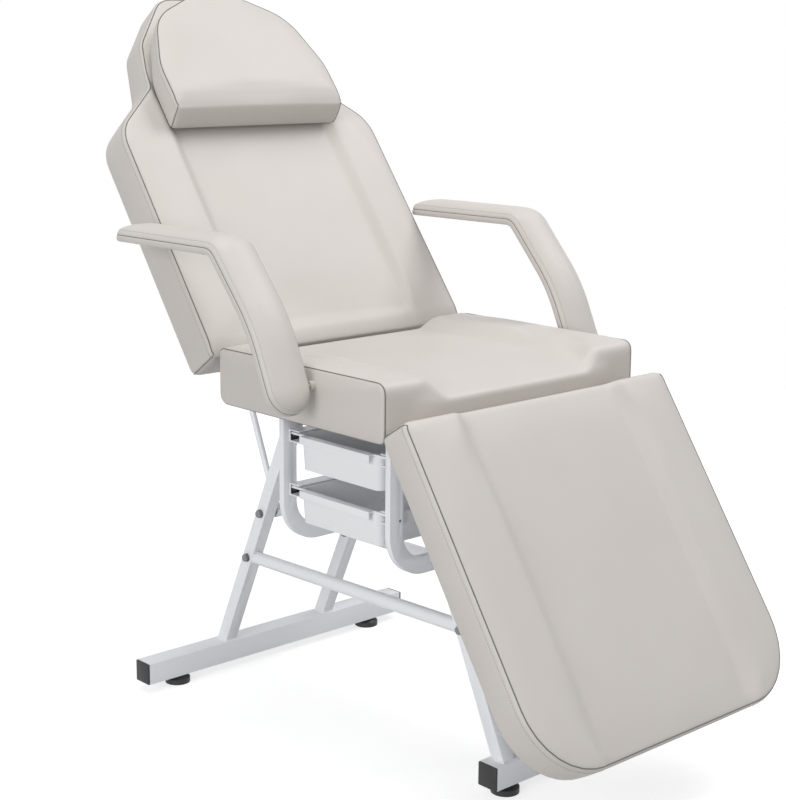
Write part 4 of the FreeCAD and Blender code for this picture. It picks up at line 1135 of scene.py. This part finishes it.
FINISHES = {"white_steel": COAT, "tray_plastic": TRAY, "black_plastic": BLACK,
            "bolt_steel": BOLT, "board": COVER, "upholstery": LEATHER}
OWN_FINISHES = {"stay_rod": COAT, "arm_pivot_shafts": LEATHER,
                "armrest_core_left": WOOD, "armrest_core_right": WOOD}
slots = {part["node"]: part["material_slot"] for part in frame["record"]["subparts"]}
for node, source in frame["nodes"].items():
    source.data.materials.clear()
    source.data.materials.append(OWN_FINISHES.get(node, FINISHES[slots[node]]))


# Floor, backdrop, light and camera

def floor_finish():
    floor = Finish("studio_floor")
    paper = floor.noise(floor.place(), 40.0, 3.0)
    tone = floor.blend(paper, (0.49, 0.49, 0.49, 1), (0.51, 0.51, 0.51, 1))
    lit = floor.node("ShaderNodeBsdfDiffuse", {}, {"Color": tone})
    glow = floor.node("ShaderNodeEmission", {}, {"Color": (1, 1, 1, 1), "Strength": 0.69})
    both = floor.node("ShaderNodeAddShader", {}, {0: lit, 1: glow})
    return floor.ended(floor.node("ShaderNodeMixShader", {},
                                  {0: floor.seen_directly(), 1: lit, 2: both}))


def make_floor():
    work = bmesh.new()
    bmesh.ops.create_circle(work, cap_ends=True, segments=96, radius=3.2)
    floor = linked("floor", drawn("floor", work))
    floor.data.materials.append(floor_finish())


def make_world():
    world = Finish("studio", bpy.data.worlds.new("studio"))
    bpy.context.scene.world = world.material
    light = world.node("ShaderNodeBackground", {},
                       {"Color": (0.98, 0.99, 1, 1), "Strength": 0.43})
    white = world.node("ShaderNodeBackground", {}, {"Color": (1, 1, 1, 1), "Strength": 1.0})
    world.ended(world.node("ShaderNodeMixShader", {},
                           {0: world.seen_directly(), 1: light, 2: white}),
                "ShaderNodeOutputWorld")


def lamp(name, place, aim, size, power):
    data = bpy.data.lights.new(name, "AREA")
    data.shape = "DISK"
    data.size = size
    data.energy = power
    light = linked(name, data)
    light.location = place
    light.rotation_euler = (Vector(aim) - Vector(place)).to_track_quat("-Z", "Y").to_euler()


def make_camera():
    data = bpy.data.cameras.new("camera")
    data.sensor_fit = "HORIZONTAL"
    data.sensor_width = SENSOR
    data.lens = CAMERA_LENS
    data.shift_x = (PHOTO_SIZE[0] / 2 - PHOTO_CENTRE[0]) / PHOTO_SIZE[0]
    data.shift_y = (PHOTO_CENTRE[1] - PHOTO_SIZE[1] / 2) / PHOTO_SIZE[0]
    camera = linked("camera", data)
    camera.location = CAMERA_PLACE
    level = math.cos(CAMERA_DOWN)
    back_way = Vector((math.sin(CAMERA_TURN) * level, -math.cos(CAMERA_TURN) * level,
                       math.sin(CAMERA_DOWN)))
    camera.rotation_euler = (-back_way).to_track_quat("-Z", "Y").to_euler()
    bpy.context.scene.camera = camera


make_floor()
make_world()
lamp("key", (3.5, -1.5, 5.0), (0, 0, 0.6), 2.8, 124)
lamp("top", (-0.5, -0.4, 5.6), (0, 0, 0.6), 3.4, 110)
lamp("fill", (-5.2, -1.9, 1.8), (0, 0, 0.5), 3.0, 142)
make_camera()
bpy.context.scene.view_settings.view_transform = "Standard"
